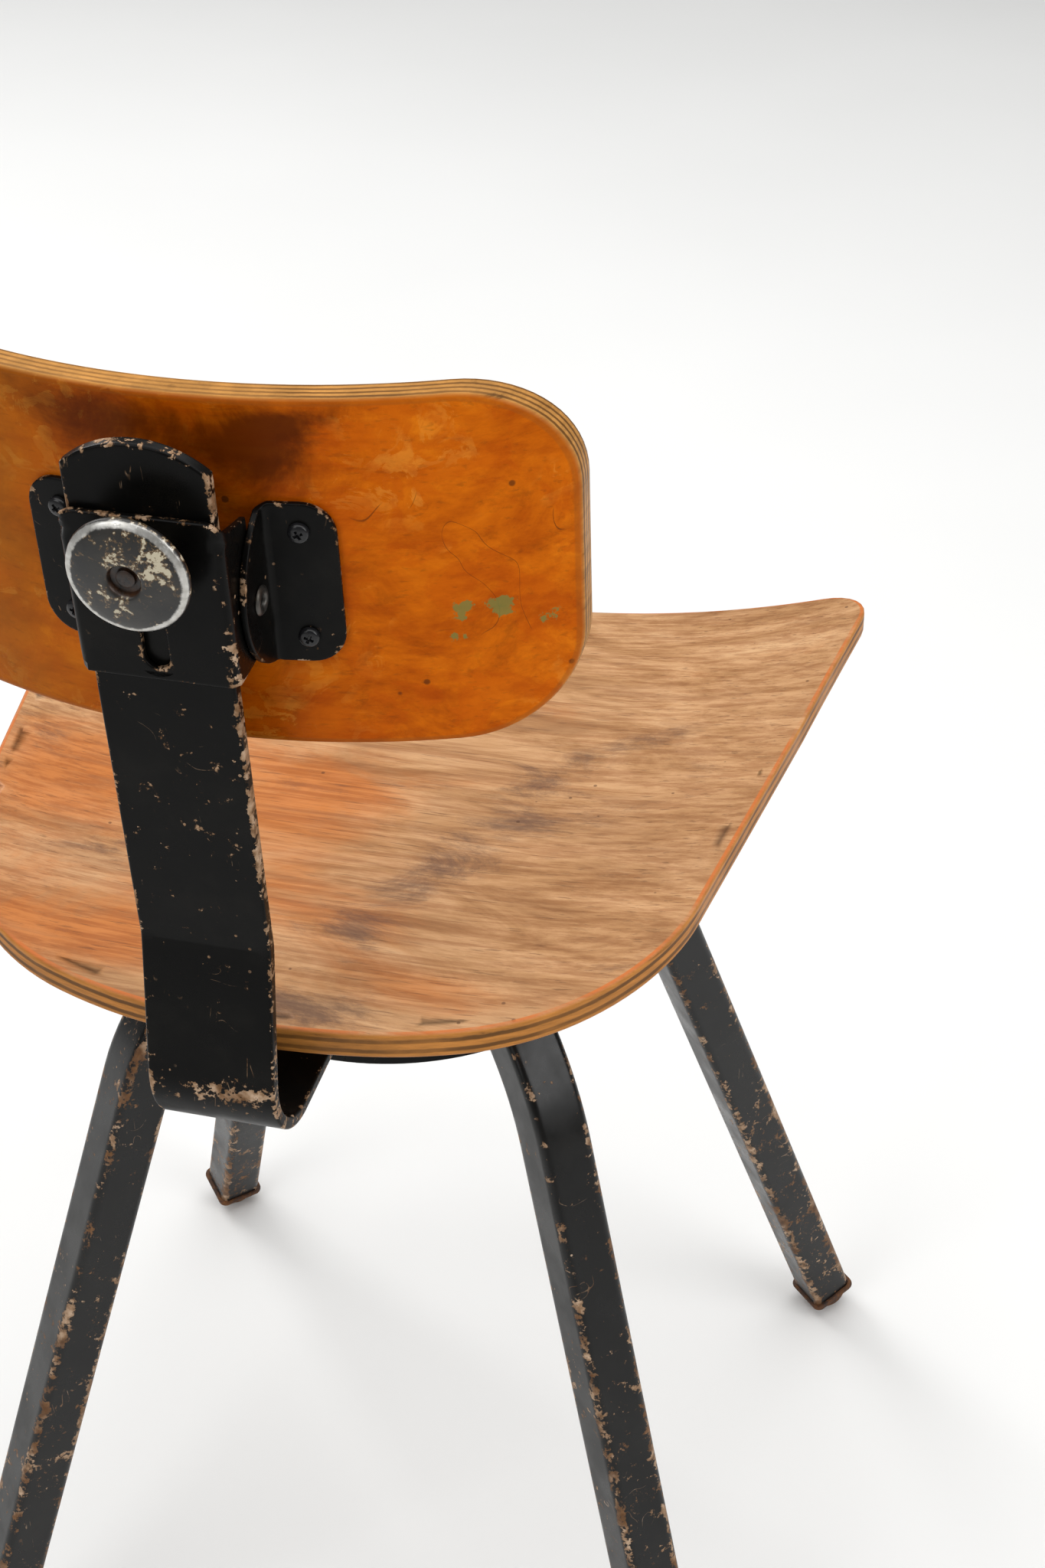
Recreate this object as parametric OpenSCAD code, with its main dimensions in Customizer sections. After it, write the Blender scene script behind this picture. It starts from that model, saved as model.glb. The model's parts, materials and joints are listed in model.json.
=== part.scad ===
// Drafting chair: moulded plywood seat on a screw spindle, four bent square legs,
// and a plywood backrest that slides and tilts on a J-shaped flat steel bar.
// The sitter faces -Y. Z = 0 is the floor.

/* [Seat] */
// Width of the seat across its front corners
seat_w = 390; // [360:1:420]
// Height of the seat's top face at the middle of its rear edge, less the foot drop
seat_h = 503.5; // [490:0.5:530]
// Distance from the seat's turning axis back to its rear edge
seat_rear = 196; // [185:1:205]
// Distance from the turning axis forward to the front edge
seat_front = 151; // [140:1:165]
// Thickness of the seat plywood
seat_t = 12; // [10:0.5:14]
// How far the sides rise above the middle
seat_dish = 13; // [5:0.5:20]
// How far the middle of the front edge drops
seat_drop = 12; // [0:0.5:16]

/* [Legs] */
// Width of the square leg tube
leg_w = 25; // [22:0.5:30]
// Wall of the leg tube
leg_wall = 2; // [1.5:0.1:3]
// Rounding of the tube's corners
leg_corner = 3.5; // [2:0.1:5]
// Radius on the floor from the centre to each leg's axis
foot_r = 274; // [240:1:300]
// Lean of the straight leg from the vertical
leg_lean = 19.95; // [15:0.05:24]
// Radius of the bend under the seat
bend_r = 105; // [90:1:120]
// Height where the bend starts, over the point where the leg's axis would reach the floor
bend_z = 372; // [350:1:380]
// How much further the round glides reach down than that point
foot_drop = 4.5; // [0:0.5:7]

/* [Back bar] */
// Width of the flat bar
bar_w = 50; // [40:1:60]
// Thickness of the flat bar
bar_t = 5; // [4:0.5:6]
// Height of the crease in the bar, less the foot drop
crease_z = 563; // [550:1:580]
// Distance of the crease behind the turning axis
crease_y = 222.4; // [215:0.2:230]
// Backward lean of the bar above the crease
bar_lean = 3.44; // [0:0.02:6]
// Forward lean of the bar below the crease
low_lean = 9.3; // [6:0.1:12]
// Length of the bar above the crease
bar_up = 207.5; // [190:0.5:230]

/* [Backrest] */
// Width of the backrest, straight across
back_w = 258; // [230:1:300]
// Height of the backrest
back_h = 136; // [120:1:160]
// Thickness of the backrest plywood
back_t = 11; // [9:0.5:13]
// Radius of the backrest's rear face
back_r = 260; // [230:5:400]
// Rounding of the backrest's corners
back_corner = 40; // [20:1:50]
// Gap from the bar's rear face to the backrest's rear face
back_gap = 27; // [25:0.5:30]

/* [Knob] */
// Radius of the clamp knob
knob_r = 21; // [18:0.5:24]
// Distance of the knob above the crease
knob_up = 168.5; // [160:0.5:175]
// Radius of the clamp stud
stud_r = 4; // [3:0.5:5]

/* [Spindle] */
// Radius of the screw spindle
spindle_r = 13; // [10:0.5:15]
// Lowest point of the spindle
spindle_low = 345; // [340:1:360]

/* [Hidden] */

$fn = 64;
eps = 0.01;
// Overlap where two runs of one piece meet end to end
joint = 0.3;
// Overlap where a straight run meets a bend it is tangent to; a larger one would leave a step
tangent_joint = 0.002;
// Longer than the whole chair, for cuts that go right through
far = 900;

// The whole chair moves forward so that its box is centred on the origin
knob_face = 19;
box_rear = crease_y + (knob_up - knob_r) * sin(bar_lean) + knob_face * cos(bar_lean);
foot_out = 14.2;
box_front = foot_r * sin(45) + foot_out;
shift_y = -(box_rear - box_front) / 2;

// Colours
black = "#1c1c1e";
ply_dark = "#b5662a";
ply_light = "#a97a50";
rust = "#5a3a28";
steel = "#8c8a84";
bronze = "#8a6a3a";
beech = "#b78f60";

// Azimuth of each leg, counted from +X; left is +X for a sitter who faces -Y
az_front_left = -45;
az_front_right = -135;
az_rear_left = 45;
az_rear_right = 135;

// Legs: centre line in its own upright plane, radius outward and height up
leg_foot_gap = 11;
bend_x = foot_r - bend_z * tan(leg_lean);
arm_z = bend_z + bend_r * (1 - sin(leg_lean));
arm_x = bend_x - bend_r * cos(leg_lean);
plate_t = 3;
plate_w = 29;
glide_ball = 14;
glide_r = 12.4;
glide_flat = 0.6;
glide_z = glide_ball - glide_flat - foot_drop;
glide_up = glide_z / cos(leg_lean);

// Hub, nut and spindle
hub_r = 22;
hub_wall = 4;
hub_low = 410;
hub_top = arm_z + leg_w / 2 + 2;
nut_low = hub_low + 6;
fit_gap = 0.06;
ring_r = 110;
ring_wall = 4;
ring_low = 411;
ring_high = 431;
stop_r = 17;
stop_h = 8;

// Seat stack, downward from the panel's flat underside
seat_under = seat_h - seat_t;
flange_t = 5;
flange_r = 45;
bar_low_z = 469;
bar_top_z = bar_low_z + bar_t;
block_low = bar_top_z + flange_t;
block_w = 92;
block_l = 110;
block_mid = 19;
bar_front = 50;
screw_x = 15;
screw_y = 26;
screw_r = 3;
screw_head_r = 5.5;
screw_head_h = 2.6;

// Bend of the back bar
bar_bend = 31;
bend_cz = bar_low_z + bar_bend;
low_len = (crease_z - bend_cz - bar_bend * sin(low_lean)) / cos(low_lean);
bend_cy = crease_y + low_len * sin(low_lean) - bar_bend * cos(low_lean);
arch_r = 38;

// Slide bracket, in the bar's own frame: y rearward, z up from the crease
sheet = 2.5;
side_gap = 0.4;
face_gap = 0.6;
flange_in = bar_w / 2 + side_gap;
flange_out = flange_in + sheet;
bracket_low = 120;
bracket_high = 183;
slot_w = 8.8;
slot_low = knob_up - 39.5;
slot_high = knob_up + 4.5;
bracket_face = face_gap + sheet;
pivot_y = -16.5;
pivot_z = 143;
rivet_r = 3;
rivet_gap = 0.06;
lug_r = 6.5;
ear_in = flange_out + 0.35;
ear_t = 2.2;
ear_out = ear_in + ear_t;
ear_r = 32.4;
ear_y = -36.4;

// Backrest, in the same frame
back_cy = -back_gap - back_r;
hinge_t = 2.5;
hinge_w = 54;
hinge_h = 62;
hinge_corner = 12;
screw_turn = 9.2;
screw_gap_z = 41;
wood_screw_r = 1.9;

module from_base() { translate([0, shift_y, foot_drop]) children(); }

// Frame of the bar above its crease
module on_bar() { from_base() translate([0, crease_y, crease_z]) rotate([-bar_lean, 0, 0]) children(); }

// Square outline whose corners are rounded in three short steps
module soft_square(w, r) {
  c = w / 2 - r;
  polygon([for (q = [0:3], i = [0:3]) let (m = 45 + 90 * q, a = 90 * q + 30 * i)
    c * sqrt(2) * [cos(m), sin(m)] + r * [cos(a), sin(a)]]);
}

module soft_rect(w, h, r) {
  square([w - 2 * r, h], center = true);
  square([w, h - 2 * r], center = true);
  for (x = [-1, 1], y = [-1, 1]) translate([x * (w / 2 - r), y * (h / 2 - r)]) circle(r = r);
}

// ---- Legs -------------------------------------------------------------

// Run of one leg with outline w across: straight, bend and arm to the hub
module leg_run(w, r, from_u, to_x) {
  translate([foot_r, 0, 0]) rotate([0, -leg_lean, 0]) translate([0, 0, from_u])
    linear_extrude(bend_z / cos(leg_lean) - from_u) soft_square(w, r);
  translate([arm_x, 0, arm_z - bend_r]) rotate([90, 0, 0]) rotate([0, 0, leg_lean])
    rotate_extrude(angle = 90 - leg_lean) translate([bend_r, 0]) soft_square(w, r);
  translate([to_x, 0, arm_z]) rotate([0, 90, 0])
    linear_extrude(arm_x + tangent_joint - to_x) soft_square(w, r);
}

module leg(az) {
  color(black) from_base() rotate([0, 0, az]) difference() {
    leg_run(leg_w, leg_corner, leg_foot_gap, hub_r - 8);
    leg_run(leg_w - 2 * leg_wall, leg_corner - leg_wall, leg_foot_gap - 1, hub_r - 16);
    translate([0, 0, arm_z - 40]) cylinder(r = hub_r, h = 80);
  }
}

module foot_plate(az) {
  color(rust) from_base() rotate([0, 0, az]) translate([foot_r, 0, 0]) rotate([0, -leg_lean, 0])
    translate([0, 0, leg_foot_gap - plate_t]) linear_extrude(plate_t) soft_square(plate_w, 5);
}

module glide(az) {
  color(rust) from_base() rotate([0, 0, az]) translate([foot_r, 0, 0]) intersection() {
    rotate([0, -leg_lean, 0]) difference() {
      translate([0, 0, glide_up]) sphere(r = glide_ball);
      translate([0, 0, leg_foot_gap - plate_t + 25]) cube([60, 60, 50], center = true);
      difference() {
        translate([0, 0, -20]) cylinder(r = 40, h = 60);
        translate([0, 0, -21]) cylinder(r = glide_r, h = 62);
      }
    }
    translate([0, 0, 50 - foot_drop]) cube([100, 100, 100], center = true);
  }
}

module leg_front_left() { leg(az_front_left); }
module leg_front_right() { leg(az_front_right); }
module leg_rear_left() { leg(az_rear_left); }
module leg_rear_right() { leg(az_rear_right); }
module foot_plate_front_left() { foot_plate(az_front_left); }
module foot_plate_front_right() { foot_plate(az_front_right); }
module foot_plate_rear_left() { foot_plate(az_rear_left); }
module foot_plate_rear_right() { foot_plate(az_rear_right); }
module glide_front_left() { glide(az_front_left); }
module glide_front_right() { glide(az_front_right); }
module glide_rear_left() { glide(az_rear_left); }
module glide_rear_right() { glide(az_rear_right); }

// ---- Hub --------------------------------------------------------------

// Four arcs of flat bar, each fitted between two neighbouring legs
module brace_ring() {
  color(black) from_base() difference() {
    translate([0, 0, ring_low]) difference() {
      cylinder(r = ring_r, h = ring_high - ring_low);
      translate([0, 0, -1]) cylinder(r = ring_r - ring_wall, h = ring_high - ring_low + 2);
    }
    for (az = [45:90:315]) rotate([0, 0, az]) translate([ring_r, 0, (ring_low + ring_high) / 2])
      cube([60, leg_w, 60], center = true);
  }
}

module hub_tube() {
  color(black) from_base() translate([0, 0, hub_low]) difference() {
    cylinder(r = hub_r, h = hub_top - hub_low);
    translate([0, 0, -1]) cylinder(r = hub_r - hub_wall, h = hub_top - hub_low + 2);
  }
}

module hub_nut() {
  color(bronze) from_base() translate([0, 0, nut_low]) difference() {
    cylinder(r = hub_r - hub_wall, h = hub_top - nut_low);
    translate([0, 0, -1]) cylinder(r = spindle_r + fit_gap, h = hub_top - nut_low + 2);
  }
}

module spindle() {
  color(steel) from_base() translate([0, 0, spindle_low])
    cylinder(r = spindle_r, h = bar_top_z - spindle_low);
}

module spindle_stop() {
  color(steel) from_base() translate([0, 0, spindle_low]) difference() {
    cylinder(r = stop_r, h = stop_h);
    translate([0, 0, -1]) cylinder(r = spindle_r, h = stop_h + 2);
  }
}

// ---- Seat -------------------------------------------------------------

module screw_places() {
  for (x = [-1, 1], y = [-1, 1]) translate([x * screw_x, y * screw_y, 0]) children();
}

module spindle_flange() {
  color(black) from_base() translate([0, 0, bar_top_z]) difference() {
    cylinder(r = flange_r, h = flange_t);
    screw_places() translate([0, 0, -1]) cylinder(r = screw_r + 0.1, h = flange_t + 2);
  }
}

module seat_block() {
  color(beech) from_base() translate([0, block_mid, block_low]) difference() {
    linear_extrude(seat_under - block_low) soft_rect(block_w, block_l, 12);
    translate([0, -block_mid, -1]) screw_places() cylinder(r = screw_r - 0.05, h = seat_under - block_low);
  }
}

module seat_screws() {
  color(steel) from_base() screw_places() {
    translate([0, 0, bar_low_z]) cylinder(r = screw_head_r, h = screw_head_h);
    translate([0, 0, bar_low_z]) cylinder(r = screw_r - 0.1, h = seat_under - 2 - bar_low_z);
  }
}

// Outline of the seat: two side lines, a broad rear arc and rounded corners
rear_arc = 270;
rear_corner = 110;
front_corner = 22;
side_lean = 8.9;
side_x = seat_w / 2 - 2.5;
side_y = -seat_front + 29;
side_in = [-cos(side_lean), -sin(side_lean)];
side_up = [-sin(side_lean), cos(side_lean)];
rear_c = [0, seat_rear - rear_arc];
start_c = [side_x, side_y] + rear_corner * side_in - rear_c;
b_c = start_c * side_up;
run_c = -b_c + sqrt(b_c * b_c - start_c * start_c + pow(rear_arc - rear_corner, 2));
corner_c = start_c + rear_c + run_c * side_up;
turn_c = atan2(corner_c[0] - rear_c[0], corner_c[1] - rear_c[1]);
front_cy = -seat_front + front_corner;
front_cx = side_x - (front_cy - side_y) * tan(side_lean) - front_corner / cos(side_lean);

function arc(c, r, a0, a1, n) = [for (i = [0:n]) let (a = a0 + (a1 - a0) * i / n) c + r * [sin(a), cos(a)]];
function line(p, q, n) = [for (i = [1:n - 1]) p + (q - p) * i / n];
function mirrored(pts) = [for (i = [len(pts) - 1:-1:0]) [-pts[i][0], pts[i][1]]];
rear_half = concat(arc(rear_c, rear_arc, 0, turn_c, 5),
  arc(corner_c, rear_corner, turn_c + 5, 90 - side_lean, 7));
front_half = arc([front_cx, front_cy], front_corner, 90 - side_lean, 180, 6);
side_half = line(rear_half[len(rear_half) - 1], front_half[0], 8);
front_points = [[front_cx * 0.66, -seat_front], [front_cx * 0.33, -seat_front]];
right_half = concat(rear_half, side_half, front_half, front_points);
outline = concat(right_half, [[0, -seat_front]], [for (p = mirrored(right_half)) if (p[0] < -eps) p]);

// Height of the top face: flat along the middle, raised sides, dropped front
flat_w = 48;
drop_from = -40;
function front_t(y) = max(0, min(1, (drop_from - y) / (seat_front + drop_from)));
function side_rise(y) = seat_dish / pow(side_x - flat_w - 20, 2) * (1 + 0.24 * pow(front_t(y), 2));
function seat_z(p) = seat_h - seat_drop * pow(front_t(p[1]), 2)
  + side_rise(p[1]) * pow(max(0, abs(p[0]) - flat_w * (1 - 0.6 * front_t(p[1]))), 2);

mid = [0, 20];
rings = [1, 0.985, 0.94, 0.86, 0.76, 0.64, 0.5, 0.36, 0.2];
edge_round = 1.5;

module seat_panel() {
  n = len(outline);
  m = len(rings);
  function at(k, i) = mid + (outline[i] - mid) * rings[k];
  top = [for (k = [0:m - 1], i = [0:n - 1]) let (p = at(k, i))
    [p[0], p[1], seat_z(p) - (k == 0 ? edge_round : 0)]];
  low = [for (k = [0:m - 1], i = [0:n - 1]) let (p = at(k, i))
    [p[0], p[1], seat_z(p) - seat_t + (k == 0 ? edge_round : 0)]];
  top_c = [[mid[0], mid[1], seat_h]];
  low_c = [[mid[0], mid[1], seat_under]];
  c0 = 2 * n * m;
  faces = concat(
    [for (k = [0:m - 2], i = [0:n - 1]) let (j = (i + 1) % n) each
      [[k * n + i, (k + 1) * n + j, k * n + j], [k * n + i, (k + 1) * n + i, (k + 1) * n + j]]],
    [for (k = [0:m - 2], i = [0:n - 1]) let (j = (i + 1) % n, o = n * m) each
      [[o + k * n + i, o + k * n + j, o + (k + 1) * n + j],
       [o + k * n + i, o + (k + 1) * n + j, o + (k + 1) * n + i]]],
    [for (i = [0:n - 1]) let (j = (i + 1) % n, k = (m - 1) * n) [k + i, c0, k + j]],
    [for (i = [0:n - 1]) let (j = (i + 1) % n, k = n * m + (m - 1) * n) [k + i, k + j, c0 + 1]],
    [for (i = [0:n - 1]) let (j = (i + 1) % n, o = n * m) each [[i, j, o + j], [i, o + j, o + i]]]
  );
  color(ply_light) from_base()
    polyhedron(points = concat(top, low, top_c, low_c), faces = faces, convexity = 4);
}

// ---- Back bar ---------------------------------------------------------

// Side view of the bar: y across, z up
module bar_side() {
  translate([-bar_front, bar_low_z]) square([bend_cy + bar_front + joint, bar_t]);
  translate([bend_cy, bend_cz]) difference() {
    circle(r = bar_bend, $fn = 128);
    circle(r = bar_bend - bar_t, $fn = 128);
    translate([-100, -50]) square([100, 100]);
    rotate(low_lean) translate([-50, 0]) square([100, 50]);
  }
  low_end = [bend_cy, bend_cz] + joint * [sin(low_lean), -cos(low_lean)];
  a = low_end + bar_bend * [cos(low_lean), sin(low_lean)];
  a_in = low_end + (bar_bend - bar_t) * [cos(low_lean), sin(low_lean)];
  b = [crease_y, crease_z];
  half = (low_lean + bar_lean) / 2;
  b_in = b - bar_t / cos(half) * [cos(bar_lean - half), -sin(bar_lean - half)];
  t = b + bar_up * [sin(bar_lean), cos(bar_lean)];
  t_in = t - bar_t * [cos(bar_lean), -sin(bar_lean)];
  polygon([a, b, t, t_in, b_in, a_in]);
}

module back_bar() {
  top_z = crease_z + bar_up * cos(bar_lean);
  color(black) difference() {
    from_base() intersection() {
      rotate([90, 0, 90]) linear_extrude(bar_w, center = true) bar_side();
      translate([0, far / 2, 0]) rotate([90, 0, 0]) linear_extrude(far) {
        translate([-50, 0]) square([100, top_z - arch_r]);
        translate([0, top_z - arch_r]) circle(r = arch_r);
      }
    }
    on_bar() translate([0, 10, knob_up]) rotate([90, 0, 0]) cylinder(r = stud_r + 0.05, h = 20);
    from_base() translate([0, 0, bar_low_z - 1]) cylinder(r = spindle_r + 0.15, h = 10);
    from_base() screw_places() translate([0, 0, bar_low_z - 1]) cylinder(r = screw_r, h = 10);
    from_base() screw_places() translate([0, 0, bar_low_z - 1])
      cylinder(r = screw_head_r + 0.1, h = screw_head_h + 1);
  }
}

// ---- Clamp ------------------------------------------------------------

module along_knob(y0) { on_bar() translate([0, y0, knob_up]) rotate([-90, 0, 0]) children(); }

stud_head = 2.5;
stud_head_r = 7.5;
stud_end = 15;
washer_t = 1.3;
washer_r = 10.5;
knob_back = bracket_face + washer_t;

module clamp_stud() {
  color(steel) {
    along_knob(-bar_t - stud_head) cylinder(r = stud_head_r, h = stud_head, $fn = 6);
    along_knob(-bar_t - eps) cylinder(r = stud_r, h = bar_t + stud_end);
  }
}

module clamp_washer() {
  color(steel) along_knob(bracket_face) difference() {
    cylinder(r = washer_r, h = washer_t);
    translate([0, 0, -1]) cylinder(r = stud_r + 0.3, h = washer_t + 2);
  }
}

// Domed disc on a short neck, with a recess where the stud ends
module clamp_knob() {
  neck = 8.5;
  disc = 12;
  rim = 4;
  dome_r = 72;
  face = knob_face - knob_back;
  lift = disc - knob_back;
  color(steel) along_knob(knob_back) rotate_extrude($fn = 96) difference() {
    union() {
      square([neck, face - 1]);
      translate([0, lift]) square([knob_r - rim / 2, rim]);
      translate([knob_r - rim / 2, lift + rim / 2]) circle(r = rim / 2);
      intersection() {
        translate([0, face - dome_r]) circle(r = dome_r, $fn = 128);
        translate([0, lift + 1]) square([knob_r - 1.5, 20]);
      }
    }
    translate([-50, -50]) square([50, 100]);
    translate([-1, face - 3.4]) square([6.5, 10]);
    translate([-1, -1]) square([stud_r + fit_gap + 1, 30]);
  }
}

// ---- Slide bracket ----------------------------------------------------

// Side flange outline: y across, z up
module bracket_side() {
  difference() {
    union() {
      polygon([[bracket_face - 2, bracket_low], [bracket_face - 2, bracket_high - 4], [-2, bracket_high - 6.5],
        [-11, bracket_high - 8], [-19, bracket_high - 10], [-20, bracket_low + 4], [-15, bracket_low]]);
      translate([pivot_y, pivot_z]) circle(r = lug_r);
    }
    translate([pivot_y, pivot_z]) circle(r = rivet_r + 0.05);
  }
}

module slide_bracket() {
  corner = 2;
  h = bracket_high - bracket_low;
  color(black) on_bar() {
    difference() {
      union() {
        translate([-flange_out + corner, face_gap, bracket_low]) cube([2 * (flange_out - corner), sheet, h]);
        for (s = [-1, 1]) translate([s * (flange_out - corner), bracket_face - corner, bracket_low])
          intersection() {
            cylinder(r = corner, h = h);
            translate([s > 0 ? 0 : -5, 0, 0]) cube([5, 5, h]);
          }
        for (s = [-1, 1]) translate([s * (flange_in + sheet / 2), 0, 0]) rotate([90, 0, 90])
          linear_extrude(sheet, center = true) bracket_side();
        for (s = [-1, 1]) translate([s > 0 ? flange_in : -flange_out + corner, face_gap, bracket_low])
          cube([sheet - corner, bracket_face - face_gap - corner, h]);
      }
      translate([0, -20, 0]) rotate([-90, 0, 0]) linear_extrude(40) {
        translate([-slot_w / 2, -slot_high]) square([slot_w, slot_high - slot_low]);
        translate([0, -slot_high]) circle(d = slot_w);
        translate([0, -slot_low]) circle(d = slot_w);
      }
    }
  }
}

module pivot_rivet(s) {
  head_t = 1.8;
  head_r = 5;
  color(steel) on_bar() translate([0, pivot_y, pivot_z]) rotate([0, 90, 0]) mirror([0, 0, s > 0 ? 0 : 1]) {
    translate([0, 0, flange_in - head_t]) cylinder(r = head_r, h = head_t);
    translate([0, 0, flange_in - eps]) cylinder(r = rivet_r, h = ear_out - flange_in + 0.15);
    translate([0, 0, ear_out + 0.1]) intersection() {
      cylinder(r = head_r + 0.2, h = head_t);
      translate([0, 0, head_t - 8]) sphere(r = 8);
    }
  }
}

module pivot_rivet_left() { pivot_rivet(1); }
module pivot_rivet_right() { pivot_rivet(-1); }

// ---- Backrest ---------------------------------------------------------

// Curved shell between two radii, kept inside an outline in the x-z plane
module back_shell(r_in, r_out) {
  intersection() {
    translate([0, back_cy, pivot_z - 100]) difference() {
      cylinder(r = r_out, h = 200, $fn = 180);
      translate([0, 0, -1]) cylinder(r = r_in, h = 202, $fn = 180);
    }
    translate([0, 50, 0]) rotate([90, 0, 0]) linear_extrude(150) children();
  }
}

module back_screw_places(s) {
  for (z = [-1, 1]) translate([0, back_cy, pivot_z + z * screw_gap_z / 2]) rotate([0, 0, -s * screw_turn])
    translate([0, back_r, 0]) rotate([-90, 0, 0]) children();
}

module backrest_panel() {
  color(ply_dark) on_bar() difference() {
    back_shell(back_r - back_t, back_r) translate([0, pivot_z]) soft_rect(back_w, back_h, back_corner);
    for (s = [-1, 1]) back_screw_places(s) translate([0, 0, -8]) cylinder(r = wood_screw_r + 0.05, h = 9);
  }
}

module hinge_plate(s) {
  plate_mid = (ear_in + hinge_w) / 2;
  color(black) on_bar() difference() {
    union() {
      back_shell(back_r, back_r + hinge_t) translate([s * plate_mid, pivot_z]) {
        soft_rect(hinge_w - ear_in, hinge_h, hinge_corner);
        translate([-s * (hinge_w - ear_in) / 4, 0]) square([(hinge_w - ear_in) / 2, hinge_h], center = true);
      }
      difference() {
        translate([s * (ear_in + ear_t / 2), 0, 0]) rotate([90, 0, 90]) linear_extrude(ear_t, center = true)
          intersection() {
            translate([ear_y, pivot_z]) circle(r = ear_r, $fn = 128);
            translate([-back_gap - 4, pivot_z - hinge_h / 2]) square([40, hinge_h]);
          }
        translate([0, back_cy, pivot_z - 100]) cylinder(r = back_r, h = 200, $fn = 180);
      }
    }
    translate([0, pivot_y, pivot_z]) rotate([0, 90, 0])
      cylinder(r = rivet_r + rivet_gap, h = 100, center = true);
    back_screw_places(s) translate([0, 0, -3]) cylinder(r = wood_screw_r + 0.2, h = 10);
  }
}

module hinge_plate_left() { hinge_plate(1); }
module hinge_plate_right() { hinge_plate(-1); }

module backrest_screws() {
  color(black) on_bar() for (s = [-1, 1]) back_screw_places(s) {
    translate([0, 0, -7.5]) cylinder(r = wood_screw_r, h = 8 + hinge_t);
    translate([0, 0, hinge_t + 0.02]) intersection() {
      cylinder(r = 3.7, h = 2.4);
      translate([0, 0, -2.3]) sphere(r = 4.7);
    }
  }
}

leg_front_left();
leg_front_right();
leg_rear_left();
leg_rear_right();
foot_plate_front_left();
foot_plate_front_right();
foot_plate_rear_left();
foot_plate_rear_right();
glide_front_left();
glide_front_right();
glide_rear_left();
glide_rear_right();
brace_ring();
hub_tube();
hub_nut();
spindle();
spindle_stop();
spindle_flange();
seat_block();
seat_panel();
seat_screws();
back_bar();
clamp_stud();
clamp_washer();
clamp_knob();
slide_bracket();
pivot_rivet_left();
pivot_rivet_right();
hinge_plate_left();
hinge_plate_right();
backrest_screws();
backrest_panel();
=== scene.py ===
"""Looks of the drafting chair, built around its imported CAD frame.

Sizes are in millimetres in the chair's own base frame (turning axis at x = y = 0, floor at z = -FOOT_DROP)
and are repeated from the CAD source. place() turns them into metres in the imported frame.
"""
import itertools
import json
import math

import bmesh
import bpy
import numpy as np
from mathutils import Matrix, Vector, geometry


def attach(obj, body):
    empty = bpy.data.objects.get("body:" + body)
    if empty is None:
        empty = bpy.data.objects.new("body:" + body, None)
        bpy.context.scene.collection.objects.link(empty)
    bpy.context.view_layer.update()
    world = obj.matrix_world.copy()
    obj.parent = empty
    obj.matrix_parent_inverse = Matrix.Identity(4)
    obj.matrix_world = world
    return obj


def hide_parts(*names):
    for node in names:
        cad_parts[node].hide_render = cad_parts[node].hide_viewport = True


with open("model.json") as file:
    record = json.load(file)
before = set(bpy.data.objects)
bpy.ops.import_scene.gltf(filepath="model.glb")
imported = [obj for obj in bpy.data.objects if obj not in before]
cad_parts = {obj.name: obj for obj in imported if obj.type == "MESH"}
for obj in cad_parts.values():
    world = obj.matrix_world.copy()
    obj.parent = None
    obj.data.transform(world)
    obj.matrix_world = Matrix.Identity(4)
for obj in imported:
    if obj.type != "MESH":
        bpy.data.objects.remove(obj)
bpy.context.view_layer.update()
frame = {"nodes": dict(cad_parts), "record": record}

# ---- Sizes ----

MM = 0.001
JOINTS = {joint["name"]: joint for joint in frame["record"]["behaviour"]["joints"]}
AXIS_Y = JOINTS["seat_turn"]["pos_m"][1]
CORNERS = ("front_left", "front_right", "rear_left", "rear_right")
LEG_AZIMUTH = dict(zip(CORNERS, (-45, -135, 45, 135)))

# Seat: the panel, its dish and front drop, its outline
SEAT_W, SEAT_H, SEAT_REAR, SEAT_FRONT, SEAT_T = 390, 503.5, 196, 151, 12
SEAT_DISH, SEAT_DROP, FLAT_W, DROP_FROM = 13, 12, 48, -40
REAR_ARC, REAR_CORNER, FRONT_CORNER, SIDE_LEAN = 270, 110, 22, 8.9
SIDE_X, SIDE_Y = SEAT_W / 2 - 2.5, -SEAT_FRONT + 29
# Legs, with wear that fades out at WEAR_TOP, and the foot plates and glides below them
LEG_W, LEG_CORNER, FOOT_R, LEG_LEAN, BEND_R, BEND_Z, FOOT_GAP = 25, 3.5, 274, 19.95, 105, 372, 11
PLATE_W, PLATE_CORNER, PLATE_T, WEAR_TOP = 28.7, 4.5, 3, 330
FOOT_DROP, GLIDE_BALL, GLIDE_R, GLIDE_FLAT = 4.5, 14, 12.4, 0.6
# Back bar: its line, its arched top, its screw holes and the bore round the spindle
BAR_W, BAR_T, CREASE_Y, CREASE_Z, BAR_LEAN, LOW_LEAN, BAR_UP = 50, 5, 222.4, 563, 3.44, 9.3, 207.5
BAR_LOW_Z, BAR_BEND, BAR_FRONT, ARCH_R = 469, 31, 50, 38
BAR_HOLE_R, BAR_HOLE_X, BAR_HOLE_Y, BAR_BORE_R, BAR_CORNER = 5.6, 15, 26, 13.15, 4
# Slide bracket, pivots and knob, in the bar's frame
PIVOT_Y, PIVOT_Z, KNOB_UP, KNOB_R = -16.5, 143, 168.5, 21
BRACKET_LOW, BRACKET_HIGH, SLOT_W, SLOT_LOW, SLOT_HIGH = 120, 183, 8.8, 129, 173
# Backrest, hinge plates and their screws, in the bar's frame
BACK_W, BACK_H, BACK_T, BACK_R, BACK_CORNER, BACK_GAP = 258, 136, 11, 260, 40, 27
BACK_CY = -BACK_GAP - BACK_R
EAR_R, EAR_Y = 32.4, -36.4
HINGE_T, SCREW_TURN, SCREW_LEVEL, SCREW_LIFT, SCREW_R = 2.3, 9.2, 20.5, 2.45, 3.7
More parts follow.
